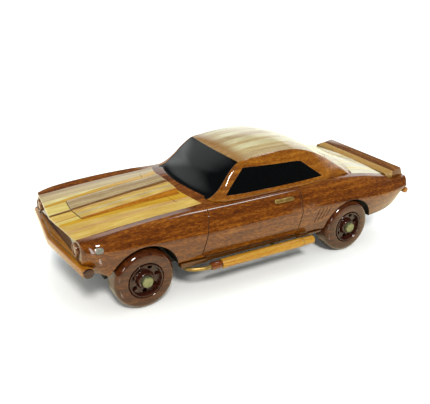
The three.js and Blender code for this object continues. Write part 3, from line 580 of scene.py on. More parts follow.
def wood(name, *tones, grain=1, rings=4.5, figure=0.3, mottle=0.6, pores=0.6, boards=None, overlay=None,
         haze=0.02):
    """Lacquered wood in dark, middle and light tones, with its grain along one axis.

    Boards are glued side by side across the car, each given by its (x of its right edge, colour).
    """
    g = new_material(name)
    dark, middle, light = (tone(*colour) for colour in tones)
    place = g.place()
    base = middle
    if boards:
        full = 2 * BOARD_X
        share = g.math("DIVIDE", g.math("SUBTRACT", g.split(place)[0], -BOARD_X), full)
        stops = [((start + BOARD_X) / full, tone(*colour)) for start, colour in boards]
        base = g.ramp(share, stops, "CONSTANT")
        # marks laid over the boards' colours; on the hood these are a painted reflection of the scoop's
        # bevels
        if overlay:
            base = overlay(g, place, base)
        shift = g.node("ShaderNodeTexWhiteNoise", {"Vector": base}, noise_dimensions="3D").outputs["Color"]
        place = g.vector("ADD", place, g.vector("MULTIPLY", shift, (60.0, 60.0, 60.0)))
    stretch = [1.0, 1.0, 1.0]
    stretch[grain] = 0.07
    along_grain = g.vector("MULTIPLY", place, tuple(stretch))
    short_grain = g.vector("MULTIPLY", place, tuple(0.28 if s < 1 else 1.0 for s in stretch))

    # Growth rings: the distance from the heart of the tree, which lies off to one side of the board.
    axes = [axis for axis in range(3) if axis != grain]
    first, second = (g.math("SUBTRACT", g.split(place)[axis], heart) for axis, heart in zip(axes, TREE_HEART))
    squares = [g.math("MULTIPLY", off, off) for off in (first, second)]
    radius = g.math("SQRT", g.math("ADD", *squares))
    wander = g.math("MULTIPLY", g.noise(along_grain, 0.045, 3.0, 0.55), 26.0)
    phase = g.math("DIVIDE", g.math("ADD", radius, wander), rings / (2 * math.pi))
    ring = g.math("MULTIPLY_ADD", g.math("SINE", phase), 0.5, 0.5)
    ring = g.math("POWER", ring, 1.6)

    patches = g.noise(short_grain, 0.06, 3.0, 0.6, 0.8)
    flecks = g.noise(short_grain, 0.8, 4.0, 0.75, 0.3)
    fibres = g.noise(along_grain, 3.2, 3.0, 0.65)
    pore_lines = g.noise(along_grain, 1.9, 2.0, 0.5)

    level = g.math("MULTIPLY_ADD", g.math("SUBTRACT", ring, 0.42), figure * 0.6, 0.5)
    level = g.math("MULTIPLY_ADD", g.math("SUBTRACT", patches, 0.5), mottle * 1.1, level)
    level = g.math("MULTIPLY_ADD", g.math("SUBTRACT", flecks, 0.5), mottle * 2.2, level)
    level = g.math("MULTIPLY_ADD", g.math("SUBTRACT", fibres, 0.5), 0.45, level)
    low = tuple(d / m for d, m in zip(dark, middle))
    high = tuple(d / m for d, m in zip(light, middle))
    shade = g.ramp(level, [(0.12, low), (0.5, grey(1.0)), (0.9, high)])
    colour = g.mix(1.0, base, shade, "MULTIPLY")
    pore = g.ramp(pore_lines, [(0.60, grey(1.0)), (0.70, grey(1.0 - 0.5 * pores))])
    colour = g.mix(1.0, colour, pore, "MULTIPLY")

    # Shade is painted dark into joints, grooves and corners from ambient occlusion, and rounded edges are
    # rubbed a little paler.
    soft = g.bevel(0.45)
    turn = g.dot(soft, g.node("ShaderNodeNewGeometry").outputs["Normal"])
    rubbed = g.math("MULTIPLY", g.math("SUBTRACT", 1.0, turn), 1.6, clamp=True)
    colour = g.mix(g.math("MULTIPLY", rubbed, 0.45), colour, g.mix(0.55, colour, light))
    occlusion = g.node("ShaderNodeAmbientOcclusion", {"Distance": 1.6 * MM}, samples=6).outputs["AO"]
    # painted shade: darker wherever nearby faces hem the surface in
    painted_crevice_shade = g.ramp(occlusion, [(0.25, grey(0.25)), (0.85, grey(1.0))])
    colour = g.mix(1.0, colour, painted_crevice_shade, "MULTIPLY")

    height = g.math("MULTIPLY_ADD", pore_lines, -0.5, g.math("MULTIPLY", fibres, 0.4))
    grain_normal = g.bump(0.12, 0.12, height, Normal=soft)
    coat_normal = g.bump(0.10, 0.35, g.noise(place, 0.22, 2.0, 0.5), Normal=soft)
    gloss = g.math("MULTIPLY_ADD", g.noise(place, 0.4, 3.0, 0.6), 0.05, haze)
    return g.finish(
        Base_Color=colour, Roughness=g.math("MULTIPLY_ADD", fibres, 0.2, 0.38), Specular_IOR_Level=0.03,
        Normal=grain_normal, Coat_Weight=1.0, Coat_Roughness=gloss, Coat_IOR=1.5, Coat_Normal=coat_normal,
    )


# The golden wedges on the hood are a painted reflection of the scoop's bevels.
BEVEL_REFLECTION = {"tip_y": -160.0, "tip_x": 25.5, "spread": 0.105, "inner_x": 19.0, "colour": (226, 172, 40)}
HEADER = {"front_y": -22.0, "rear_y": -8.0, "share": 0.92, "colour": (178, 128, 68)}


def painted_bevel_reflection(g, place, base):
    """A painted reflection of the scoop's bevel in the hood's lacquer: a golden wedge along each side of the
    scoop, wider towards the windshield.
    """
    parts = g.split(place)
    side = g.math("ABSOLUTE", parts[0])
    edge = g.math("MULTIPLY_ADD", g.math("ADD", parts[1], -BEVEL_REFLECTION["tip_y"]), BEVEL_REFLECTION["spread"], BEVEL_REFLECTION["tip_x"])
    outside_scoop = g.math("GREATER_THAN", side, BEVEL_REFLECTION["inner_x"])
    inside = g.math("MULTIPLY", g.math("LESS_THAN", side, edge), outside_scoop)
    return g.mix(inside, base, tone(*BEVEL_REFLECTION["colour"]))


def roof_header(g, place, base):
    """The roof darkens to brown just behind the windshield."""
    front = g.ease(g.split(place)[1], HEADER["rear_y"], HEADER["front_y"])
    return g.mix(g.math("MULTIPLY", front, HEADER["share"]), base, tone(*HEADER["colour"]))


def black_lacquer():
    """Deep gloss paint with fine dust in it."""
    g = new_material("black_lacquer")
    place = g.place()
    dust = g.noise(place, 0.9, 4.0, 0.7)
    colour = g.ramp(dust, [(0.3, tone(2, 3, 4)), (0.8, tone(9, 10, 12))])
    normal = g.bump(0.12, 0.4, g.noise(place, 0.12, 2.0, 0.5))
    return g.finish(Base_Color=colour, Roughness=0.4, Specular_IOR_Level=0.0, Coat_Weight=1.0,
                    Coat_Roughness=g.math("MULTIPLY_ADD", dust, 0.05, 0.01), Coat_Normal=normal)


def painted_well_shade():
    """Painted shade: a thin dark streaked colour over wood, inside the wheel arches and under the car."""
    g = new_material("painted_well_shade")
    streaks = g.noise(g.vector("MULTIPLY", g.place(), (1.0, 0.08, 1.0)), 1.4, 4.0, 0.6)
    colour = g.ramp(streaks, [(0.3, tone(14, 11, 9)), (0.75, tone(34, 24, 18))])
    relief = g.bump(0.3, 0.2, streaks)
    return g.finish(Base_Color=colour, Roughness=0.55, Specular_IOR_Level=0.3, Normal=relief)


def pearl():
    """Clouded inlay whose hue turns with the angle it is seen at."""
    g = new_material("pearl_inlay")
    clouds = g.noise(g.place(), 0.55, 4.0, 0.6, 1.2)
    facing = g.node("ShaderNodeLayerWeight", {"Blend": 0.4}).outputs["Facing"]
    hue = g.math("ADD", clouds, g.math("MULTIPLY", facing, 0.25))
    colour = g.ramp(hue, [(0.35, tone(92, 104, 92)), (0.5, tone(178, 184, 168)), (0.6, tone(168, 132, 122)),
                          (0.72, tone(88, 96, 70))])
    return g.finish(Base_Color=colour, Metallic=0.2, Roughness=0.3, Coat_Weight=1.0, Coat_Roughness=0.03)


def brass(name="brass", pale=(176, 178, 104), deep=(128, 118, 56)):
    """Brushed brass that has dulled in clouds."""
    g = new_material(name)
    place = g.place()
    marks = g.noise(g.vector("MULTIPLY", place, (0.3, 1.0, 1.0)), 2.2, 5.0, 0.7)
    clouds = g.noise(place, 0.3, 3.0, 0.6)
    level = g.math("MULTIPLY_ADD", marks, 0.5, g.math("MULTIPLY", clouds, 0.5))
    colour = g.ramp(level, [(0.35, tone(*deep)), (0.62, tone(*pale))])
    return g.finish(Base_Color=colour, Metallic=0.75, Roughness=g.math("MULTIPLY_ADD", marks, 0.25, 0.22),
                    Normal=g.bump(0.15, 0.05, marks, Normal=g.bevel(0.35)))


TAUPE, SAND, CREAM, STRAW = (190, 160, 116), (218, 192, 136), (246, 226, 150), (246, 220, 124)
GOLD, AMBER, TAN, ROSE = (240, 200, 100), (208, 158, 84), (232, 192, 98), (224, 176, 104)
BEIGE, IVORY = (206, 178, 128), (234, 219, 168)
HONEY = ((140, 72, 12), (198, 122, 28), (232, 170, 62))

MAHOGANY = wood("mahogany", (86, 38, 6), (132, 68, 10), (186, 112, 30), mottle=0.8, rings=7.0)
DARK_MAHOGANY = wood("dark_mahogany", (40, 14, 6), (72, 28, 12), (112, 52, 22), rings=5.0)
PALE_WOOD = wood(
    "pale_wood", (186, 146, 80), (222, 186, 116), (240, 214, 156), figure=0.3, mottle=0.22, pores=0.25,
    boards=[(-50, TAUPE), (-43.5, SAND), (-31, CREAM), (-22, STRAW), (0, GOLD), (12.5, AMBER), (13.8, STRAW),
            (23, TAN), (33, ROSE), (37, TAN), (41, GOLD), (46, TAN)],
    # the hood's golden wedges are a painted reflection of the scoop's bevels
    overlay=painted_bevel_reflection,
)
ROOF_WOOD = wood(
    "roof_wood", (180, 142, 86), (214, 180, 122), (236, 208, 156), figure=0.4, mottle=0.25, pores=0.25,
    boards=[(-50, BEIGE), (-38, IVORY), (-29, SAND), (-18, IVORY), (-9, BEIGE), (1, IVORY), (10, SAND),
            (16, IVORY), (25, SAND), (33, BEIGE)],
    overlay=roof_header,
)
TRUNK_WOOD = wood(
    "trunk_wood", (196, 158, 92), (232, 206, 140), (246, 230, 180), figure=0.3, mottle=0.25, pores=0.25,
    boards=[(-50, IVORY), (-36, STRAW), (-30, IVORY), (-14, CREAM), (-6, STRAW), (0, IVORY), (14, STRAW),
            (20, IVORY), (33, STRAW), (39, IVORY)],
)
STRIPED_WOOD = wood(
    "striped_wood", (146, 110, 64), (190, 152, 98), (218, 184, 130), figure=0.35, mottle=0.25, pores=0.35,
    boards=[(-50, TAN), (-24, BEIGE), (-16, TAUPE), (-9, BEIGE), (0, ROSE), (5, TAN), (9.5, SAND), (13, TAN),
            (18, ROSE), (30, TAN)],
)
SPOILER_WOOD = wood(
    "spoiler_wood", (150, 104, 42), (204, 156, 80), (232, 192, 120), grain=0, rings=3.5, mottle=0.4)
COLLAR_WOOD = wood("collar_wood", (84, 36, 12), (134, 66, 26), (182, 106, 54), rings=4.0, mottle=0.5)
HONEY_WOOD = wood("honey_wood", *HONEY, rings=3.5, mottle=0.4)
CROSS_HONEY_WOOD = wood("cross_honey_wood", *HONEY, grain=0, rings=3.5, mottle=0.4)
SILL_WOOD = wood("sill_wood", (62, 32, 8), (104, 60, 16), (146, 92, 32), rings=3.5, mottle=0.5)
YELLOW_WOOD = wood(
    "yellow_wood", (176, 104, 14), (228, 160, 28), (246, 204, 78), rings=3.0, mottle=0.5, pores=0.35,
    haze=0.3)
WHEEL_WOOD = wood("wheel_wood", (56, 22, 6), (98, 46, 14), (142, 78, 30), rings=6.0)
CROSS_MAHOGANY = wood("cross_mahogany", (86, 40, 14), (134, 80, 34), (176, 118, 58), grain=0, rings=7.0)
CABIN_MAHOGANY = wood("cabin_mahogany", (108, 54, 8), (162, 94, 18), (206, 138, 44), rings=7.0, mottle=0.7)
SCOOP_HONEY = wood("scoop_honey", (140, 74, 6), (196, 120, 14), (224, 156, 40), rings=3.5, mottle=0.5)
RIB_WOOD = wood("rib_wood", (84, 48, 14), (134, 88, 34), (172, 126, 62), rings=4.0, mottle=0.5)
# Dark wood made near-black: the shade inside the grille opening and the tail recess is painted into it.
SHADED_RECESS_WOOD = wood("shaded_recess_wood", (28, 12, 8), (48, 22, 14), (72, 38, 22), grain=0, rings=4.0)
RIM_WOOD = wood("rim_wood", (40, 16, 10), (72, 32, 20), (112, 60, 38), rings=4.0, mottle=0.5)
LAMP_WOOD = wood("lamp_wood", (96, 48, 24), (150, 92, 54), (196, 142, 98), grain=0, rings=3.0)
CAP_BRASS = brass("cap_brass", pale=(204, 206, 158), deep=(160, 164, 116))
BLACK_LACQUER = black_lacquer()
# painted shade for the wheel wells and the underside
PAINTED_WELL_SHADE = painted_well_shade()
PEARL = pearl()
BRASS = brass()
GOLDEN_BRASS = brass("golden_brass", pale=(236, 204, 120), deep=(176, 122, 48))


# ---- Lower body ----------------------------------------------------------------------------------


def lower_body_form():
    """The whole body below the windows as one block, from the sill over the crease to the crowned top."""

    def place(u, v, w):
        y = lerp(NOSE_Y, TAIL_Y, v - 0.55 * np.sin(2 * math.pi * v) / (2 * math.pi))
        up = 2 * w
        below = up < 1
        flank_z = np.where(below, lerp(sill_z(y), crease_z(y), up), lerp(crease_z(y), shoulder_z(y), up - 1))
        x = u * flank_x(y, flank_z)
        z = np.where(below, lerp(sill_z(y), crease_z(y), up), lerp(crease_z(y), body_top_z(y, x), up - 1))
        rake = 7 * np.maximum(1 - up / 0.45, 0)
        return x, y + (VEE * np.abs(x) + rake) * nose_share(y), z

    edge = 0.024
    near = edge * np.arange(3) / 3
    w = np.concatenate([near, np.linspace(edge, 0.5, 9), np.linspace(0.5, 1 - edge, 20)[1:], 1 - near[::-1]])
    outer = np.linspace(0.80, 0.984, 17)
    middle = np.linspace(-0.80, 0.80, 33)[1:-1]
    rim = 1 - 0.016 * np.arange(3) / 3
    u = np.concatenate([-rim, -outer[::-1], middle, outer, rim[::-1]])
    return warped_block(u, steps(0, 1, 120, 0.007), w, place, (0.016, 0.007, edge))


TAIL_RECESS = {"half": 52, "front_y": TAIL_Y - 3, "low": 50.5, "high": 61.4}
SLOT_GAP = 0.15  # room above and below the bumper in its slot
OPENING = {"half": 56, "low": 48.4, "high": 65, "back": -173.4, "panel": 3}
BUMPER_LOW, BUMPER_HIGH = span("front_bumper")
BUMPER = {
    "half": BUMPER_HIGH[0], "nose_y": BUMPER_LOW[1], "depth": 9.0, "low": BUMPER_LOW[2],
    "high": BUMPER_HIGH[2],
}
REAR_BUMPER_LOW, REAR_BUMPER_HIGH = span("rear_bumper")
SPOILER_LOW, SPOILER_HIGH = span("spoiler_blade")
SPOILER = {
    "half": SPOILER_HIGH[0], "front_y": span("spoiler_base")[0][1], "seam_y": SPOILER_LOW[1] - 0.15,
    "rear_y": SPOILER_HIGH[1], "lip_y": SPOILER_HIGH[1] - 5.5, "lip_z": SPOILER_HIGH[2], "foot_z": 62,
    "seam_z": 69.2,
}
KEEL = {"half": 41, "front_y": -152, "rear_y": 122, "low": 19.5}
GROOVE_WIDTH, GROOVE_DEPTH = 0.75, 1.0
FOOT_GROOVE_WIDTH = 1.5


def tail_space(rear):
    """The recess across the tail, from its front wall to a rear plane."""
    half = TAIL_RECESS["half"]
    return block(-half, half, TAIL_RECESS["front_y"], rear, TAIL_RECESS["low"], TAIL_RECESS["high"])


def bumper_slot():
    return prism(bumper_outline(), 2, BUMPER["low"] - SLOT_GAP, BUMPER["high"] + SLOT_GAP)


def bumper_outline():
    """The front bumper from above: a shallow vee of even depth."""
    back = BUMPER["nose_y"] + VEE * BUMPER["half"]
    depth = BUMPER["depth"]
    return [
        (0, BUMPER["nose_y"]), (BUMPER["half"], back), (BUMPER["half"], back + depth),
        (0, BUMPER["nose_y"] + depth), (-BUMPER["half"], back + depth), (-BUMPER["half"], back),
    ]


def groove_walls():
    """Thin walls standing on the engraved lines of the left flank: the door's outline and four gills."""
    door_front = [(-63.8, 78.5), (-69.5, 56), (-73.4, 36.5), (-71, 34.4)]
    door_rear = [(31.5, 76.5), (32.5, 55.5), (29.5, 38), (27.5, 32.4)]
    door_foot = [(-71, 34.3), (-20, 33.2), (27.5, 32.0)]
    gills = [[(53.5 + 4.6 * i, 54), (48 + 4.6 * i, 41 + 1.2 * i)] for i in range(4)]
    walls = []
    for line in (door_front, door_rear, door_foot, *gills):
        for start, end in zip(line, line[1:]):
            start, end = np.array(start), np.array(end)
            run = (end - start) / np.linalg.norm(end - start)
            width = FOOT_GROOVE_WIDTH if line is door_foot else GROOVE_WIDTH
            side = np.array([-run[1], run[0]]) * width / 2
            reach = run * GROOVE_WIDTH / 2
            corners = [start - reach + side, end + reach + side, end + reach - side, start - reach - side]
            walls.append(prism(corners, 0, BOARD_X, WIDE))
    return plus(*walls)


def build_lower_body():
    form = lower_body_form()
    low, high = BUMPER["low"] - SLOT_GAP, BUMPER["high"] + SLOT_GAP
    corner = block(BUMPER["half"] - 1, WIDE, -190, -167.5, low, high)
    opening = prism(stadium(OPENING["half"], OPENING["low"], OPENING["high"]), 1, -200, OPENING["back"])
    spoiler_slot = block(-WIDE, WIDE, SPOILER["front_y"], 190, SPOILER["foot_z"], 90)
    rod = cylinder(3.3, -WIDE, WIDE, rear_rod_centre(), sides=32)
    body = minus(form, plus(bumper_slot(), corner, mirrored(corner)), opening, spoiler_slot, rod)
    tail_recess = tail_space(200)
    left_arches = [arch(y, z, BOARD_X - 8, WIDE) for y, z in ARCHES]

    grooves = minus(groove_walls(), moved(form, x=-GROOVE_DEPTH))
    side_board = minus(common(body, slice_between(BOARD_X, WIDE)), *left_arches, tail_recess, grooves)
    paint_well_shade(side_board)
    finish_pair("side_board", side_board, (MAHOGANY, PAINTED_WELL_SHADE), "mahogany")

    hood_region = common(
        plan_between(lambda x: -FAR, hood_rear_y),
        prism([(-195, 64.6), (-60, 75), (-60, 120), (-195, 120)], 0, -OVER_BODY, OVER_BODY),
    )
    cowl_region = plan_between(hood_rear_y, cowl_rear_y, 73)
    trunk_region = plan_between(seam_y, lambda x: SPOILER["front_y"], 64)
    pocket = plan_between(cowl_rear_y, seam_y, POCKET_Z)
    centre = common(body, slice_between(-BOARD_X, BOARD_X))
    rib, scoop = build_scoop()
    hood = minus(common(centre, hood_region), scoop, rib)
    finish_piece("hood_panel", minus(hood, hood_lines()), PALE_WOOD, "pale_wood")
    finish_piece("cowl_panel", common(centre, cowl_region), MAHOGANY, "mahogany")
    finish_piece("trunk_lid", common(centre, trunk_region), TRUNK_WOOD, "pale_wood")
    keel = block(-KEEL["half"], KEEL["half"], KEEL["front_y"], KEEL["rear_y"], KEEL["low"], 50)
    wells = [arch(y, z, WELL_INNER_X, WIDE) for y, z in ARCHES]
    axle_bores = [cylinder(AXLE_BORE_RADIUS, -100, 100, (0, y, AXLE_Z), sides=32)
                  for y in (FRONT_AXLE_Y, REAR_AXLE_Y)]
    core = minus(
        plus(centre, rounded(keel, 1.2)), hood_region, cowl_region, trunk_region, pocket, tail_recess,
        *wells, *[mirrored(well) for well in wells], *axle_bores,
    )
    paint_well_shade(core)
    finish_piece("body_core", core, (STRIPED_WOOD, PAINTED_WELL_SHADE), "laminated_wood")
    return form, body


def rear_rod_centre():
    return 0, (REAR_BUMPER_LOW[1] + REAR_BUMPER_HIGH[1]) / 2, (REAR_BUMPER_LOW[2] + REAR_BUMPER_HIGH[2]) / 2


def hood_lines():
    """A fine line engraved across each side of the hood, ahead of the windshield."""
    lines = []
    for sign in (1, -1):
        corners = [(27, -85.6), (47, -80.9), (47, -80.4), (27, -85.1)]
        line = prism([(sign * x, y) for x, y in corners], 2, 60, 100)
        uncut = prism([(-90, 60), (-70, 60), (-70, 76.4), (-90, 74.6)], 0, -OVER_BODY, OVER_BODY)
        lines.append(minus(line, uncut))
    return plus(*lines)


# ---- Hood scoop: a low wedge with bevelled sides and a rib along its middle ------------------------

SCOOP = {
    "tip_y": -163.5, "rear_y": -73.5, "front_half": 21.0, "rear_half": 25.5, "top_half": 19.3,
    "front_rise": 0.6, "rear_rise": 2.6,
}
SCOOP_KNEE = 0.75  # share of the half-width where the flat top ends and the bevel starts
RIB = {"front_half": 1.5, "rear_half": 2.9, "height": 0.55}
JOINT_LINE = 0.3  # open line left round the scoop where it is let into the hood


def scoop_height(v, across):
    return lerp(SCOOP["front_rise"], SCOOP["rear_rise"], v) * np.clip(across, 0.06, 1)


def scoop_form(grow=0.0):
    """The scoop let into the hood; it can be drawn larger all round."""

    def place(u, v, w):
        half = lerp(SCOOP["front_half"], SCOOP["rear_half"], v) + grow
        knee = SCOOP_KNEE
        reach = np.abs(u)
        inner = reach / knee * SCOOP["top_half"]
        outer = lerp(SCOOP["top_half"], half, (reach - knee) / (1 - knee))
        x = np.sign(u) * np.where(reach < knee, inner, outer)
        y = lerp(SCOOP["tip_y"] + 3 * reach - 1.4 * grow, SCOOP["rear_y"], v)
        top = scoop_height(v, (1 - reach) / (1 - knee))
        return x, y, body_top_z(y, x) + lerp(-2, top + 4 * grow, w)

    places = steps(-1, 1, 32, 0.02), steps(0, 1, 60, 0.004), steps(0, 1, 2, 0.08)
    return warped_block(*places, place, (0.012, 0.004, 0.06))


def rib_form():
    """A crowned strip from the tip of the nose to the windshield."""
    front = NOSE_Y + 0.3

    def place(u, v, w):
        y = lerp(front, SCOOP["rear_y"], v)
        x = u * lerp(RIB["front_half"], RIB["rear_half"], v)
        on_scoop = np.clip((y - SCOOP["tip_y"]) / (SCOOP["rear_y"] - SCOOP["tip_y"]), 0, 1)
        base = scoop_height(on_scoop, 1.0) * smoothstep(y, SCOOP["tip_y"] - 1, SCOOP["tip_y"] + 1)
        crown = RIB["height"] * np.sqrt(np.maximum(1 - u**2, 0))
        return x, y + VEE * np.abs(x) * nose_share(y), body_top_z(y, x) + lerp(-1.4, base + crown, w)

    across = np.sin(np.linspace(-1, 1, 15) * math.pi / 2)
    return warped_block(across, steps(0, 1, 80, 0.006), np.array([0.0, 1.0]), place, (1e-4, 0.003, 1e-4))


def build_scoop():
    """The scoop's boards; returns the rib and the space that the scoop is let into."""
    form, rib = scoop_form(), rib_form()
    rear = SCOOP["rear_y"] + 5
    edge = SCOOP["top_half"]
    half = minus(common(form, block(0, edge, -170, rear, 60, 100)), rib)
    finish_pair("scoop_half", half, STRIPED_WOOD, "laminated_wood")
    bevel = common(form, block(edge, 40, -170, rear, 60, 100))
    finish_pair("scoop_bevel", bevel, SCOOP_HONEY, "honey_wood")
    finish_piece("scoop_centre_strip", rib, RIB_WOOD, "dark_mahogany")
    return rib, scoop_form(JOINT_LINE)


# ---- Cabin ---------------------------------------------------------------------------------------

SIDE_KNEE = {"up": 0.6, "inward": 0.72, "height": 0.83}
WINDSHIELD_SIDES = [(-50.2, 60), (50.2, 60), (41, 106), (-41, 106)]
SIDE_GLASS = [(-42.8, 79.8), (66, 80.3), (42.5, 97), (36, 98), (-21.7, 100)]
REAR_GLASS = [(-35, 62), (35, 62), (38, 104), (-38, 104)]
GLASS_THICKNESS = 2.4
GLASS_SUNK = 0.25


def cabin_side(t):
    """How far in and up the cabin's side has come: straight from the belt, then rounded into the roof."""
    share = np.minimum(t / SIDE_KNEE["up"], 1)
    s = np.clip((t - SIDE_KNEE["up"]) / (1 - SIDE_KNEE["up"]), 0, 1)
    bend = 2 * s * (1 - s)
    inward = SIDE_KNEE["inward"] * np.where(s > 0, (1 - s) ** 2, share) + 0.87 * bend + s**2
    height = SIDE_KNEE["height"] * np.where(s > 0, (1 - s) ** 2, share) + 0.985 * bend + s**2
    return inward, height


def cabin_form():
    """The whole cabin as one block: an upright foot below the belt line, then the sides and the roof."""
    rows = 6

    def place(u, v, w):
        foot = np.minimum(w * rows, 1)
        t = np.maximum(w * rows - 1, 0) / (rows - 1)
        inward, height = cabin_side(t)
        y = lerp(lerp(-69.5 + 14 * u**2, header_y(u * ROOF_X), t), seam_y(u * BOARD_X) + 2, v)
        x = u * lerp(cabin_base_x(y), roof_half_x(y), inward)
        skin = body_top_z(y, x) + 0.02
        belt = lerp(POCKET_Z, np.minimum(BELT_Z, np.maximum(roof_top_z(y, x), skin) - 1), foot)
        return x, y, lerp(belt, np.maximum(roof_top_z(y, u * roof_half_x(y)), skin), height)

    w = np.concatenate([[0, 1 / 12], np.linspace(1 / rows, 1, 27)])
    return warped_block(steps(-1, 1, 44, 0.024), steps(0, 1, 90, 0.006), w, place, (0.024, 0.006, 0.004))


def windshield_block():
    """The space that the windshield fills, ahead of the cabin's block and below the roof's front edge."""
    side_view = [(-90, 70), (-58.5, 70), (-21.5, 100.2), (-21.5, 130), (-90, 130)]
    back = prism(side_view, 0, -OVER_BODY, OVER_BODY)
    return common(prism(WINDSHIELD_SIDES, 1, -90, 0), back, plan_between(lambda x: -90, header_y))


def roof_under(drop):
    """The space above a surface that follows the roof's edge, a drop below it."""
    ys = np.linspace(-40, 124, 40)
    line = [(y, max(float(roof_edge_z(y)) - drop, POCKET_Z)) for y in ys]
    return prism(line + [(124, 140), (-40, 140)], 0, -OVER_BODY, OVER_BODY)


def build_cabin(body_form, body):
    cabin = cabin_form()
    board_side = common(body_form, both(slice_between(BOARD_X, WIDE)))
    foot = common(body, plan_between(lambda x: -90, cowl_rear_y))
    behind_seam = plan_between(seam_y, lambda x: 200)
    form = minus(cabin, board_side, foot, behind_seam)
    middle = slice_between(-ROOF_X, ROOF_X)
    windshield_space = windshield_block()
    header = plan_between(lambda x: -90, header_y)

    sunk = moved(cabin, x=-GLASS_SUNK)
    glass_back = moved(cabin, x=-GLASS_THICKNESS)
    glass_space = prism(SIDE_GLASS, 0, 38, 70)
    side_window = minus(common(form, glass_space, sunk), glass_back)
    finish_pair("side_window", side_window, BLACK_LACQUER, "black_lacquer")
    behind_glass = minus(glass_space, glass_back)
    roof_side = minus(common(form, slice_between(ROOF_X, WIDE)), windshield_space, behind_glass)
    finish_pair("roof_side", roof_side, CABIN_MAHOGANY, "mahogany")

    windshield = common(form, windshield_space, moved(cabin, y=GLASS_SUNK * 1.4))
    finish_piece("windshield", windshield, BLACK_LACQUER, "black_lacquer")
    under = roof_under(2)
    band = minus(common(form, middle, under), windshield_space, header)
    rear_space = prism(REAR_GLASS, 2, 0, TOP)
    finish_piece("roof_panel", minus(band, rear_space), ROOF_WOOD, "pale_wood")
    rear_window = common(band, rear_space, moved(cabin, z=-GLASS_SUNK))
    finish_piece("rear_window", rear_window, BLACK_LACQUER, "black_lacquer")
    core = minus(common(form, middle), under, windshield_space)
    finish_piece("cabin_core", core, STRIPED_WOOD, "laminated_wood")


# ---- Front and rear trim -------------------------------------------------------------------------


def headlight_profile(depth, radius):
    """A turned lamp: a raised ring round a domed face."""
    ring_in = radius - 1.5
    dome = [(ring_in * math.sin(t), depth - 1.1 + 0.8 * math.cos(t)) for t in np.linspace(0, 1.35, 8)]
    return [(0, 0), (radius, 0), (radius, depth - 0.8), (radius - 0.25, depth - 0.2), (radius - 0.7, depth),
            (radius - 1.1, depth - 0.2), (ring_in, depth - 0.9), *dome[::-1][1:]]


def build_front(body_form):
    bumper = prism(bumper_outline(), 2, BUMPER["low"], BUMPER["high"], bevel=1.1, segments=4)
    finish_piece("front_bumper", bumper, CROSS_HONEY_WOOD, "honey_wood")
    cap_low, cap_high = span("bumper_cap_left")
    middle = (cap_low + cap_high) / 2
    radius, thick = (cap_high[1] - cap_low[1]) / 2, cap_high[0] - cap_low[0]
    base = BUMPER["half"]
    cap = turned(
        [(0, base), (radius, base), (radius, base + thick - 0.6), (radius - 0.25, base + thick - 0.15),
         (radius - 0.8, base + thick), (0, base + thick + 0.2)], (0, 0, 0), sides=48)
    cap.transform(Matrix.Scale((cap_high[2] - cap_low[2]) / (cap_high[1] - cap_low[1]), 4, (0, 0, 1)))
    finish_pair("bumper_cap", moved(cap, y=middle[1], z=middle[2]), DARK_MAHOGANY, "dark_mahogany")

    face = OPENING["back"] - OPENING["panel"]
    outline = stadium(OPENING["half"], OPENING["low"], OPENING["high"])
    light_low, light_high = span("headlight_left")
    light = (light_low + light_high) / 2
    light_radius, light_depth = (light_high[2] - light_low[2]) / 2, light_high[1] - light_low[1]
    well = cylinder(light_radius, -20, 20, light, axis=1)
    wells = [well, mirrored(well)]
    panel = minus(prism(outline, 1, face, OPENING["back"]), bumper_slot(), *wells)
    finish_piece("grille_panel", panel, SHADED_RECESS_WOOD, "dark_mahogany")
    sill_space = block(-49, 49, -200, 0, BUMPER_HIGH[2] + 0.3, 51.2)
    sill = common(prism(outline, 1, -200, face), moved(body_form, y=0.5), sill_space)
    finish_piece("grille_sill", minus(sill, *wells), CROSS_HONEY_WOOD, "honey_wood")
    profile = [(r, light_high[1] - level) for r, level in headlight_profile(light_depth, light_radius)]
    lamp = turned(profile, (light[0], 0, light[2]), axis=1, sides=64)
    finish_pair("headlight", lamp, LAMP_WOOD, "honey_wood")


def on_flank(node, bulge):
    """A rounded bar lying on the flank in the place of the CAD bar."""
    low, high = span(node)
    middle = (low + high) / 2
    length, height = high[1] - low[1], high[2] - low[2]
    half, radius = length / 2, height / 2 * 0.96
    rings = [(0.0, 1.0), (0.55, 1.0), (0.85, 0.88), (1.0, 0.6)]
    turns = np.linspace(0, 2 * math.pi, 48, endpoint=False)
    points = []
    for level, share in rings:
        r = radius * share
        along_y = np.sign(np.cos(turns)) * (half - radius) + r * np.cos(turns)
        up = r * np.sin(turns)
        y, z = middle[1] + along_y, middle[2] + up
        points.append(np.stack([flank_x(y, z) - 0.1 + bulge * level, y, z], 1))
    return skin_over(points)


def build_sides(body_form):
    finish_pair("side_marker", on_flank("side_marker_left", 0.25), PEARL, "pearl_inlay")
    finish_pair("door_handle", on_flank("door_handle_left", 1.7), GOLDEN_BRASS, "brass")

    # The strip under the sill is thinner beside the muffler and has a plain lump near its rear end.
    low, high = span("rocker_left")
    foot = [(low[1], low[2]), (30, low[2]), (high[1], low[2] + 0.4)]
    top = [(y, float(sill_z(y))) for y in (high[1], 50, 41.5, 27, -30, -60, low[1])]
    rocker = prism(foot + top, 0, low[0], high[0], bevel=0.5)
    rocker = minus(rocker, block(high[0] - 2.3, 90, -68.5, 29.5, 0, 40))
    oval = [(2.3 * math.sin(t), 5.6 * -math.cos(t)) for t in np.linspace(0, math.pi, 15)]
    knuckle = turned(oval, (0, 0, 0), axis=1, sides=32)
    rocker = plus(rocker, moved(knuckle, x=high[0] - 2.2, y=37.6, z=31.9))
    arches = [arch(y, z, 40, WIDE, ARCH_RADIUS + 0.1) for y, z in ARCHES]
    rocker = minus(rocker, moved(body_form, z=-0.02), *arches)
    finish_pair("rocker", rocker, SILL_WOOD, "honey_wood")


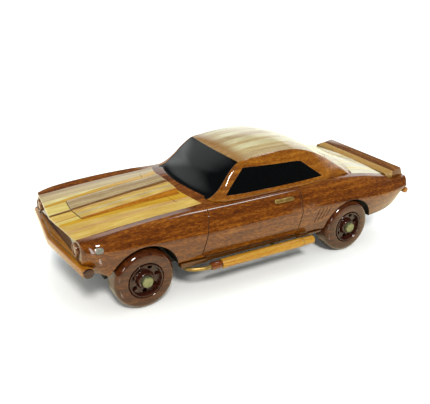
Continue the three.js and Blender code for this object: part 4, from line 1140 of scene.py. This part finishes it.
def build_exhaust():
    """A muffler with a ringed, slightly waisted tip, its collar, a brass header pipe and a hanger."""
    low, high = span("muffler_left")
    x, z = (low[0] + high[0]) / 2, (low[2] + high[2]) / 2
    radius = (high[0] - low[0]) / 2
    front, tip, step = low[1], high[1], 30.9
    profile = [
        (0, front), (radius - 0.9, front), (radius - 0.3, front + 0.25), (radius, front + 0.9),
        (radius, step - 1.6), (radius - 0.35, step - 1.2), (radius - 0.35, step - 0.8), (radius, step - 0.4),
        (radius - 0.05, step), (radius - 0.8, step + 0.3), (radius - 0.8, step + 0.9),
        (radius - 0.35, step + 1.3), (radius - 0.5, (step + tip) / 2), (radius - 0.25, tip - 1.2),
        (radius - 0.4, tip - 0.3), (radius - 0.8, tip), (radius - 1.3, tip), (radius - 1.7, tip - 0.5),
        (radius - 1.7, tip - 4), (0, tip - 4),
    ]
    finish_pair("muffler", turned(profile, (x, 0, z), axis=1), YELLOW_WOOD, "yellow_wood")
    low, high = span("pipe_collar_left")
    radius = (high[0] - low[0]) / 2
    profile = [(0, low[1]), (radius - 0.9, low[1]), (radius - 0.25, low[1] + 0.4), (radius, low[1] + 1.1),
               (radius, front - 0.7), (radius - 0.3, front), (0, front)]
    finish_pair("pipe_collar", turned(profile, (x, 0, z), axis=1), COLLAR_WOOD, "dark_mahogany")
    start = low[1]
    foot = start - 20
    header = tube(
        [(x, start + 0.5, z), (x - 0.4, start - 6, z - 0.4), (x - 4, start - 15, z - 0.8),
         (65, foot + 0.5, z - 0.8), (58.5, foot, 27), (57, foot, float(sill_z(foot)) + 0.4)], 1.9)
    finish_pair("header_pipe", header, GOLDEN_BRASS, "brass")
    y = 4.0
    knots = [(x - 3.4, y, z), (64, y, z), (59, y, 27.5), (58, y, float(sill_z(y)) + 0.3)]
    hanger = tube(knots, 1.2, sides=16)
    finish_pair("pipe_hanger", hanger, BRASS, "brass")


def build_tail():
    seam, front, rear = SPOILER["seam_y"], SPOILER["front_y"], SPOILER["rear_y"]
    half, lip_y, lip_z = SPOILER["half"], SPOILER["lip_y"], SPOILER["lip_z"]
    foot, top = SPOILER["foot_z"], SPOILER["seam_z"]
    base = prism([(front, foot), (seam, foot), (seam, top), (front, top - 1.3)], 0, -half, half)
    finish_piece("spoiler_base", base, SPOILER_WOOD, "honey_wood")
    side = [(seam, foot), (rear, foot), (rear - 0.4, foot + 1), (lip_y + 0.8, lip_z - 0.5), (lip_y, lip_z),
            (lip_y - 1.2, lip_z - 0.15), (seam, top)]
    blade = prism(side, 0, -half, half)
    ends = prism([(-half, seam - 1), (half, seam - 1), (half, lip_y - 5), (half - 2, 185), (2 - half, 185),
                  (-half, lip_y - 5)], 2, 0, TOP)
    finish_piece("spoiler_blade", rounded(common(blade, ends), 0.5), CROSS_MAHOGANY, "mahogany")

    centre = rear_rod_centre()
    radius = (REAR_BUMPER_HIGH[2] - REAR_BUMPER_LOW[2]) / 2
    reach = REAR_BUMPER_HIGH[0]
    rod_profile = [(0, -reach), (radius - 0.8, -reach), (radius - 0.2, 0.3 - reach), (radius, 1 - reach),
                   (radius, reach - 1), (radius - 0.2, reach - 0.3), (radius - 0.8, reach), (0, reach)]
    finish_piece("rear_bumper", turned(rod_profile, centre, sides=64), CROSS_HONEY_WOOD, "honey_wood")

    high = span("tail_panel")[1]
    light_low, light_high = span("tail_light_left")
    outline = [(light_low[0], light_low[2]), (light_high[0], light_low[2]), (light_high[0], light_high[2]),
               (light_low[0], light_high[2])]
    well = prism(outline, 1, light_low[1], 200)
    rod = cylinder(radius + 0.1, -WIDE, WIDE, centre, sides=64)
    panel = minus(tail_space(high[1]), well, mirrored(well), rod)
    finish_piece("tail_panel", panel, SHADED_RECESS_WOOD, "dark_mahogany")
    lamp = prism(outline, 1, light_low[1], light_high[1] + 0.4, bevel=0.35)
    grid = [block(x - 0.25, x + 0.25, 150, 200, light_low[2] - 1, light_high[2] + 1)
            for x in np.linspace(light_low[0], light_high[0], 5)[1:-1]]
    lamp = minus(lamp, common(plus(*grid), block(0, 90, light_high[1] - 0.2, 200, 0, 100)))
    finish_pair("tail_light", lamp, HONEY_WOOD, "honey_wood")


# ---- Wheels --------------------------------------------------------------------------------------

TYRE_BORE = 15.5
BOLT_HOLES = 7
BOLT_CIRCLE = 11.2
BOLT_HOLE_RADIUS = 2.05
BOLT_HOLE_TURN = 0.25  # how far the first hole is turned, as a share of the spacing


def tyre_profile():
    """Rounded shoulders and a gently domed outer face."""
    inner, outer, r = TYRE_INNER_X, TYRE_OUTER_X, WHEEL_RADIUS
    shoulder = [(r - 5.2 + 5.2 * math.sin(t), outer - 6.4 + 6.0 * math.cos(t))
                for t in np.linspace(0.12, 1.5, 12)]
    back = [(r - 4 + 4 * math.cos(t), inner + 4 - 4 * math.sin(t)) for t in np.linspace(0.05, 1.5, 9)]
    face = [(TYRE_BORE + 0.25, outer - 0.75), (TYRE_BORE + 0.7, outer - 0.35), (18.0, outer - 0.05),
            (20.0, outer - 0.1)]
    return [(TYRE_BORE, inner), (TYRE_BORE, outer - 1.4), *face, *shoulder, *back]


def rim_profile():
    """A rounded lip, a dished face and a raised hub."""
    outer = TYRE_OUTER_X
    lip = TYRE_BORE - 0.35
    return [
        (3.0, TYRE_INNER_X), (TYRE_BORE, TYRE_INNER_X), (TYRE_BORE, outer - 1.6), (lip, outer - 1.5),
        (lip, outer - 0.6), (lip - 0.3, outer - 0.1), (lip - 0.8, outer + 0.05), (lip - 1.25, outer - 0.15),
        (lip - 1.55, outer - 0.7), (lip - 1.8, outer - 2.2), (lip - 2.0, outer - 4.2), (8.4, outer - 4.6),
        (7.9, outer - 4.2), (7.3, outer - 1.6), (6.7, outer - 0.5), (6.0, outer), (5.5, outer + 0.05),
        (5.15, outer - 0.2), (5.15, outer - 2.0), (3.0, outer - 2.0),
    ]


def build_wheels():
    tyre = turned(tyre_profile(), (0, 0, 0), sides=128)
    rim = turned(rim_profile(), (0, 0, 0), sides=96)
    holes = []
    for i in range(BOLT_HOLES):
        turn = 2 * math.pi * (i + BOLT_HOLE_TURN) / BOLT_HOLES
        place = (0, BOLT_CIRCLE * math.cos(turn), BOLT_CIRCLE * math.sin(turn))
        holes.append(cylinder(BOLT_HOLE_RADIUS, 58, 80, place, sides=32))
    rim = minus(rim, *holes)
    low, high = span("axle_cap_front_left")
    radius, out = (high[1] - low[1]) / 2, high[0]
    seat = TYRE_OUTER_X - 1.9
    cap = turned(
        [(0, seat), (radius, seat), (radius, out - 0.8), (radius - 0.3, out - 0.2), (radius - 0.8, out),
         (radius - 1.1, out - 0.25), (radius - 1.4, out - 0.3), (0, out - 0.1)], (0, 0, 0), sides=64)
    axle_low, axle_high = span("axle_front")
    shaft = (axle_high[1] - axle_low[1]) / 2
    reach = TYRE_OUTER_X - 2.0
    for end, y in (("front", FRONT_AXLE_Y), ("rear", REAR_AXLE_Y)):
        finish_piece(f"axle_{end}", cylinder(shaft, -reach, reach, (0, y, AXLE_Z)), BRASS, "brass")
        finish_pair(f"axle_cap_{end}", moved(cap, y=y, z=AXLE_Z), CAP_BRASS, "brass")
        for side, mirror in (("left", lambda mesh: mesh), ("right", mirrored)):
            wheel = f"{end}_{side}"
            for name, mesh, finish, slot in (
                ("tyre", tyre, WHEEL_WOOD, "mahogany"), ("rim", rim, RIM_WOOD, "dark_mahogany"),
            ):
                part = moved(mirror(mesh), y=y, z=AXLE_Z)
                finish_piece(f"{name}_{wheel}", part, finish, slot, body=f"wheel_{wheel}")


# ---- Floor, light and camera ---------------------------------------------------------------------


FLOOR = {"half": 12000, "thick": 20, "top_z": -0.05, "gloss_near": 300.0, "gloss_far": 700.0}


def build_floor():
    """A pale, slightly glossy table top whose gloss fades out with distance from the car."""
    g = new_material("pale_floor")
    patches = g.noise(g.place(), 0.004, 3.0, 0.5)
    white = g.ramp(patches, [(0.3, (0.86, 0.88, 0.88, 1.0)), (0.7, (0.9, 0.9, 0.89, 1.0))])
    warm = (0.96, 0.88, 0.62, 1.0)
    colour = g.mix(g.node("ShaderNodeLightPath").outputs["Is Camera Ray"], warm, white)
    distance = g.vector("LENGTH", g.place(), output="Value")
    shine = g.ease(distance, FLOOR["gloss_near"], FLOOR["gloss_far"], 0.5, 0.0)
    material = g.finish(Base_Color=colour, Roughness=g.math("MULTIPLY_ADD", patches, 0.08, 0.05),
                        Specular_IOR_Level=shine)
    half = FLOOR["half"]
    floor = bpy.data.objects.new("floor", block(-half, half, -half, half, -FLOOR["thick"], FLOOR["top_z"]))
    bpy.context.scene.collection.objects.link(floor)
    floor.data.materials.append(material)


def sun(name, towards, strength, spread, colour=(1, 1, 1), glossy=True):
    """A distant lamp whose light comes from a direction."""
    lamp = bpy.data.lights.new(name, "SUN")
    lamp.energy, lamp.angle, lamp.color = strength, math.radians(spread), colour
    obj = bpy.data.objects.new(name, lamp)
    obj.rotation_mode = "QUATERNION"
    obj.rotation_quaternion = Vector(towards).to_track_quat("Z", "Y")
    obj.visible_glossy = glossy
    bpy.context.scene.collection.objects.link(obj)


ROOM_LEVEL = 0.06
BACKDROP = {"side": 0.8, "rear": 1.35, "edge": (0.30, 0.44), "turn": (0.40, 0.56), "spread": (0.1, 0.5)}
# Lit panels that only the lacquer mirrors: the direction, the soft edge as two cosines, and the brightness.
PANELS = [
    ((-0.84, -0.20, 0.50), (0.935, 1.0), 0.55),
    ((-0.10, 0.486, 0.87), (0.990, 0.998), 12.0),
    ((0.71, -0.64, 0.26), (0.990, 0.999), 10.0),
]
VIEW = {"azimuth": 58.0, "elevation": 23.5, "roll": 2.1, "place": (447.6, -299.9, 278.1), "lens": 49.23}


def build_world():
    """Even white light; the lacquer mirrors a bright low backdrop, lit panels and an otherwise dim room."""
    world = bpy.data.worlds.new("studio")
    bpy.context.scene.world = world
    g = Graph(world)
    direction = g.node("ShaderNodeTexCoord").outputs["Generated"]
    rearward, height = g.split(direction)[1:3]
    azimuth = math.radians(VIEW["azimuth"])
    behind = g.ease(g.dot(direction, (-math.sin(azimuth), math.cos(azimuth), 0.0)), *BACKDROP["spread"])
    low_down = g.math("SUBTRACT", 1.0, g.ease(height, *BACKDROP["edge"]))
    level = g.ease(rearward, *BACKDROP["turn"], BACKDROP["side"], BACKDROP["rear"])
    gloss = g.math("ADD", g.math("MULTIPLY", g.math("MULTIPLY", behind, low_down), level), ROOM_LEVEL)
    for towards, edge, strength in PANELS:
        lit = g.ease(g.dot(direction, Vector(towards).normalized()), *edge)
        gloss = g.math("ADD", gloss, g.math("MULTIPLY", lit, strength))
    matt = g.math("MULTIPLY_ADD", behind, 0.6, 0.9)
    path = g.node("ShaderNodeLightPath").outputs
    mirror_ray = path["Is Glossy Ray"]
    mirrored_light = g.math("MULTIPLY", mirror_ray, gloss)
    strength = g.math("MULTIPLY_ADD", g.math("SUBTRACT", 1.0, mirror_ray), matt, mirrored_light)
    strength = g.math("MAXIMUM", strength, path["Is Camera Ray"])
    background = g.node("ShaderNodeBackground", {"Color": (0.95, 1.0, 0.99, 1), "Strength": strength})
    g.node("ShaderNodeOutputWorld", {"Surface": background.outputs[0]})


def build_camera():
    azimuth, elevation, roll = (math.radians(VIEW[k]) for k in ("azimuth", "elevation", "roll"))
    back = Vector((math.sin(azimuth) * math.cos(elevation), -math.cos(azimuth) * math.cos(elevation),
                   math.sin(elevation)))
    level = Vector((0, 0, 1)).cross(back).normalized()
    up = back.cross(level)
    right = level * math.cos(roll) + up * math.sin(roll)
    top = up * math.cos(roll) - level * math.sin(roll)
    camera = bpy.data.objects.new("camera", bpy.data.cameras.new("camera"))
    camera.data.lens, camera.data.sensor_width = VIEW["lens"], 36.0
    camera.data.clip_start, camera.data.clip_end = 0.01, 40.0
    place = Matrix((right, top, back)).transposed().to_4x4()
    place.translation = Vector(VIEW["place"]) * MM
    camera.matrix_world = place
    bpy.context.scene.collection.objects.link(camera)
    bpy.context.scene.camera = camera


body_form, body = build_lower_body()
build_cabin(body_form, body)
build_front(body_form)
build_sides(body_form)
build_exhaust()
build_tail()
build_wheels()
build_floor()
build_world()
sun("key_lamp", (0.65, -0.235, 0.72), 2.7, 12.0, colour=(1.0, 0.97, 0.93))
sun("back_lamp", (-0.55, 0.42, 0.72), 1.5, 50.0, colour=(0.93, 0.97, 1.0), glossy=False)
build_camera()
bpy.context.scene.view_settings.view_transform = "Standard"
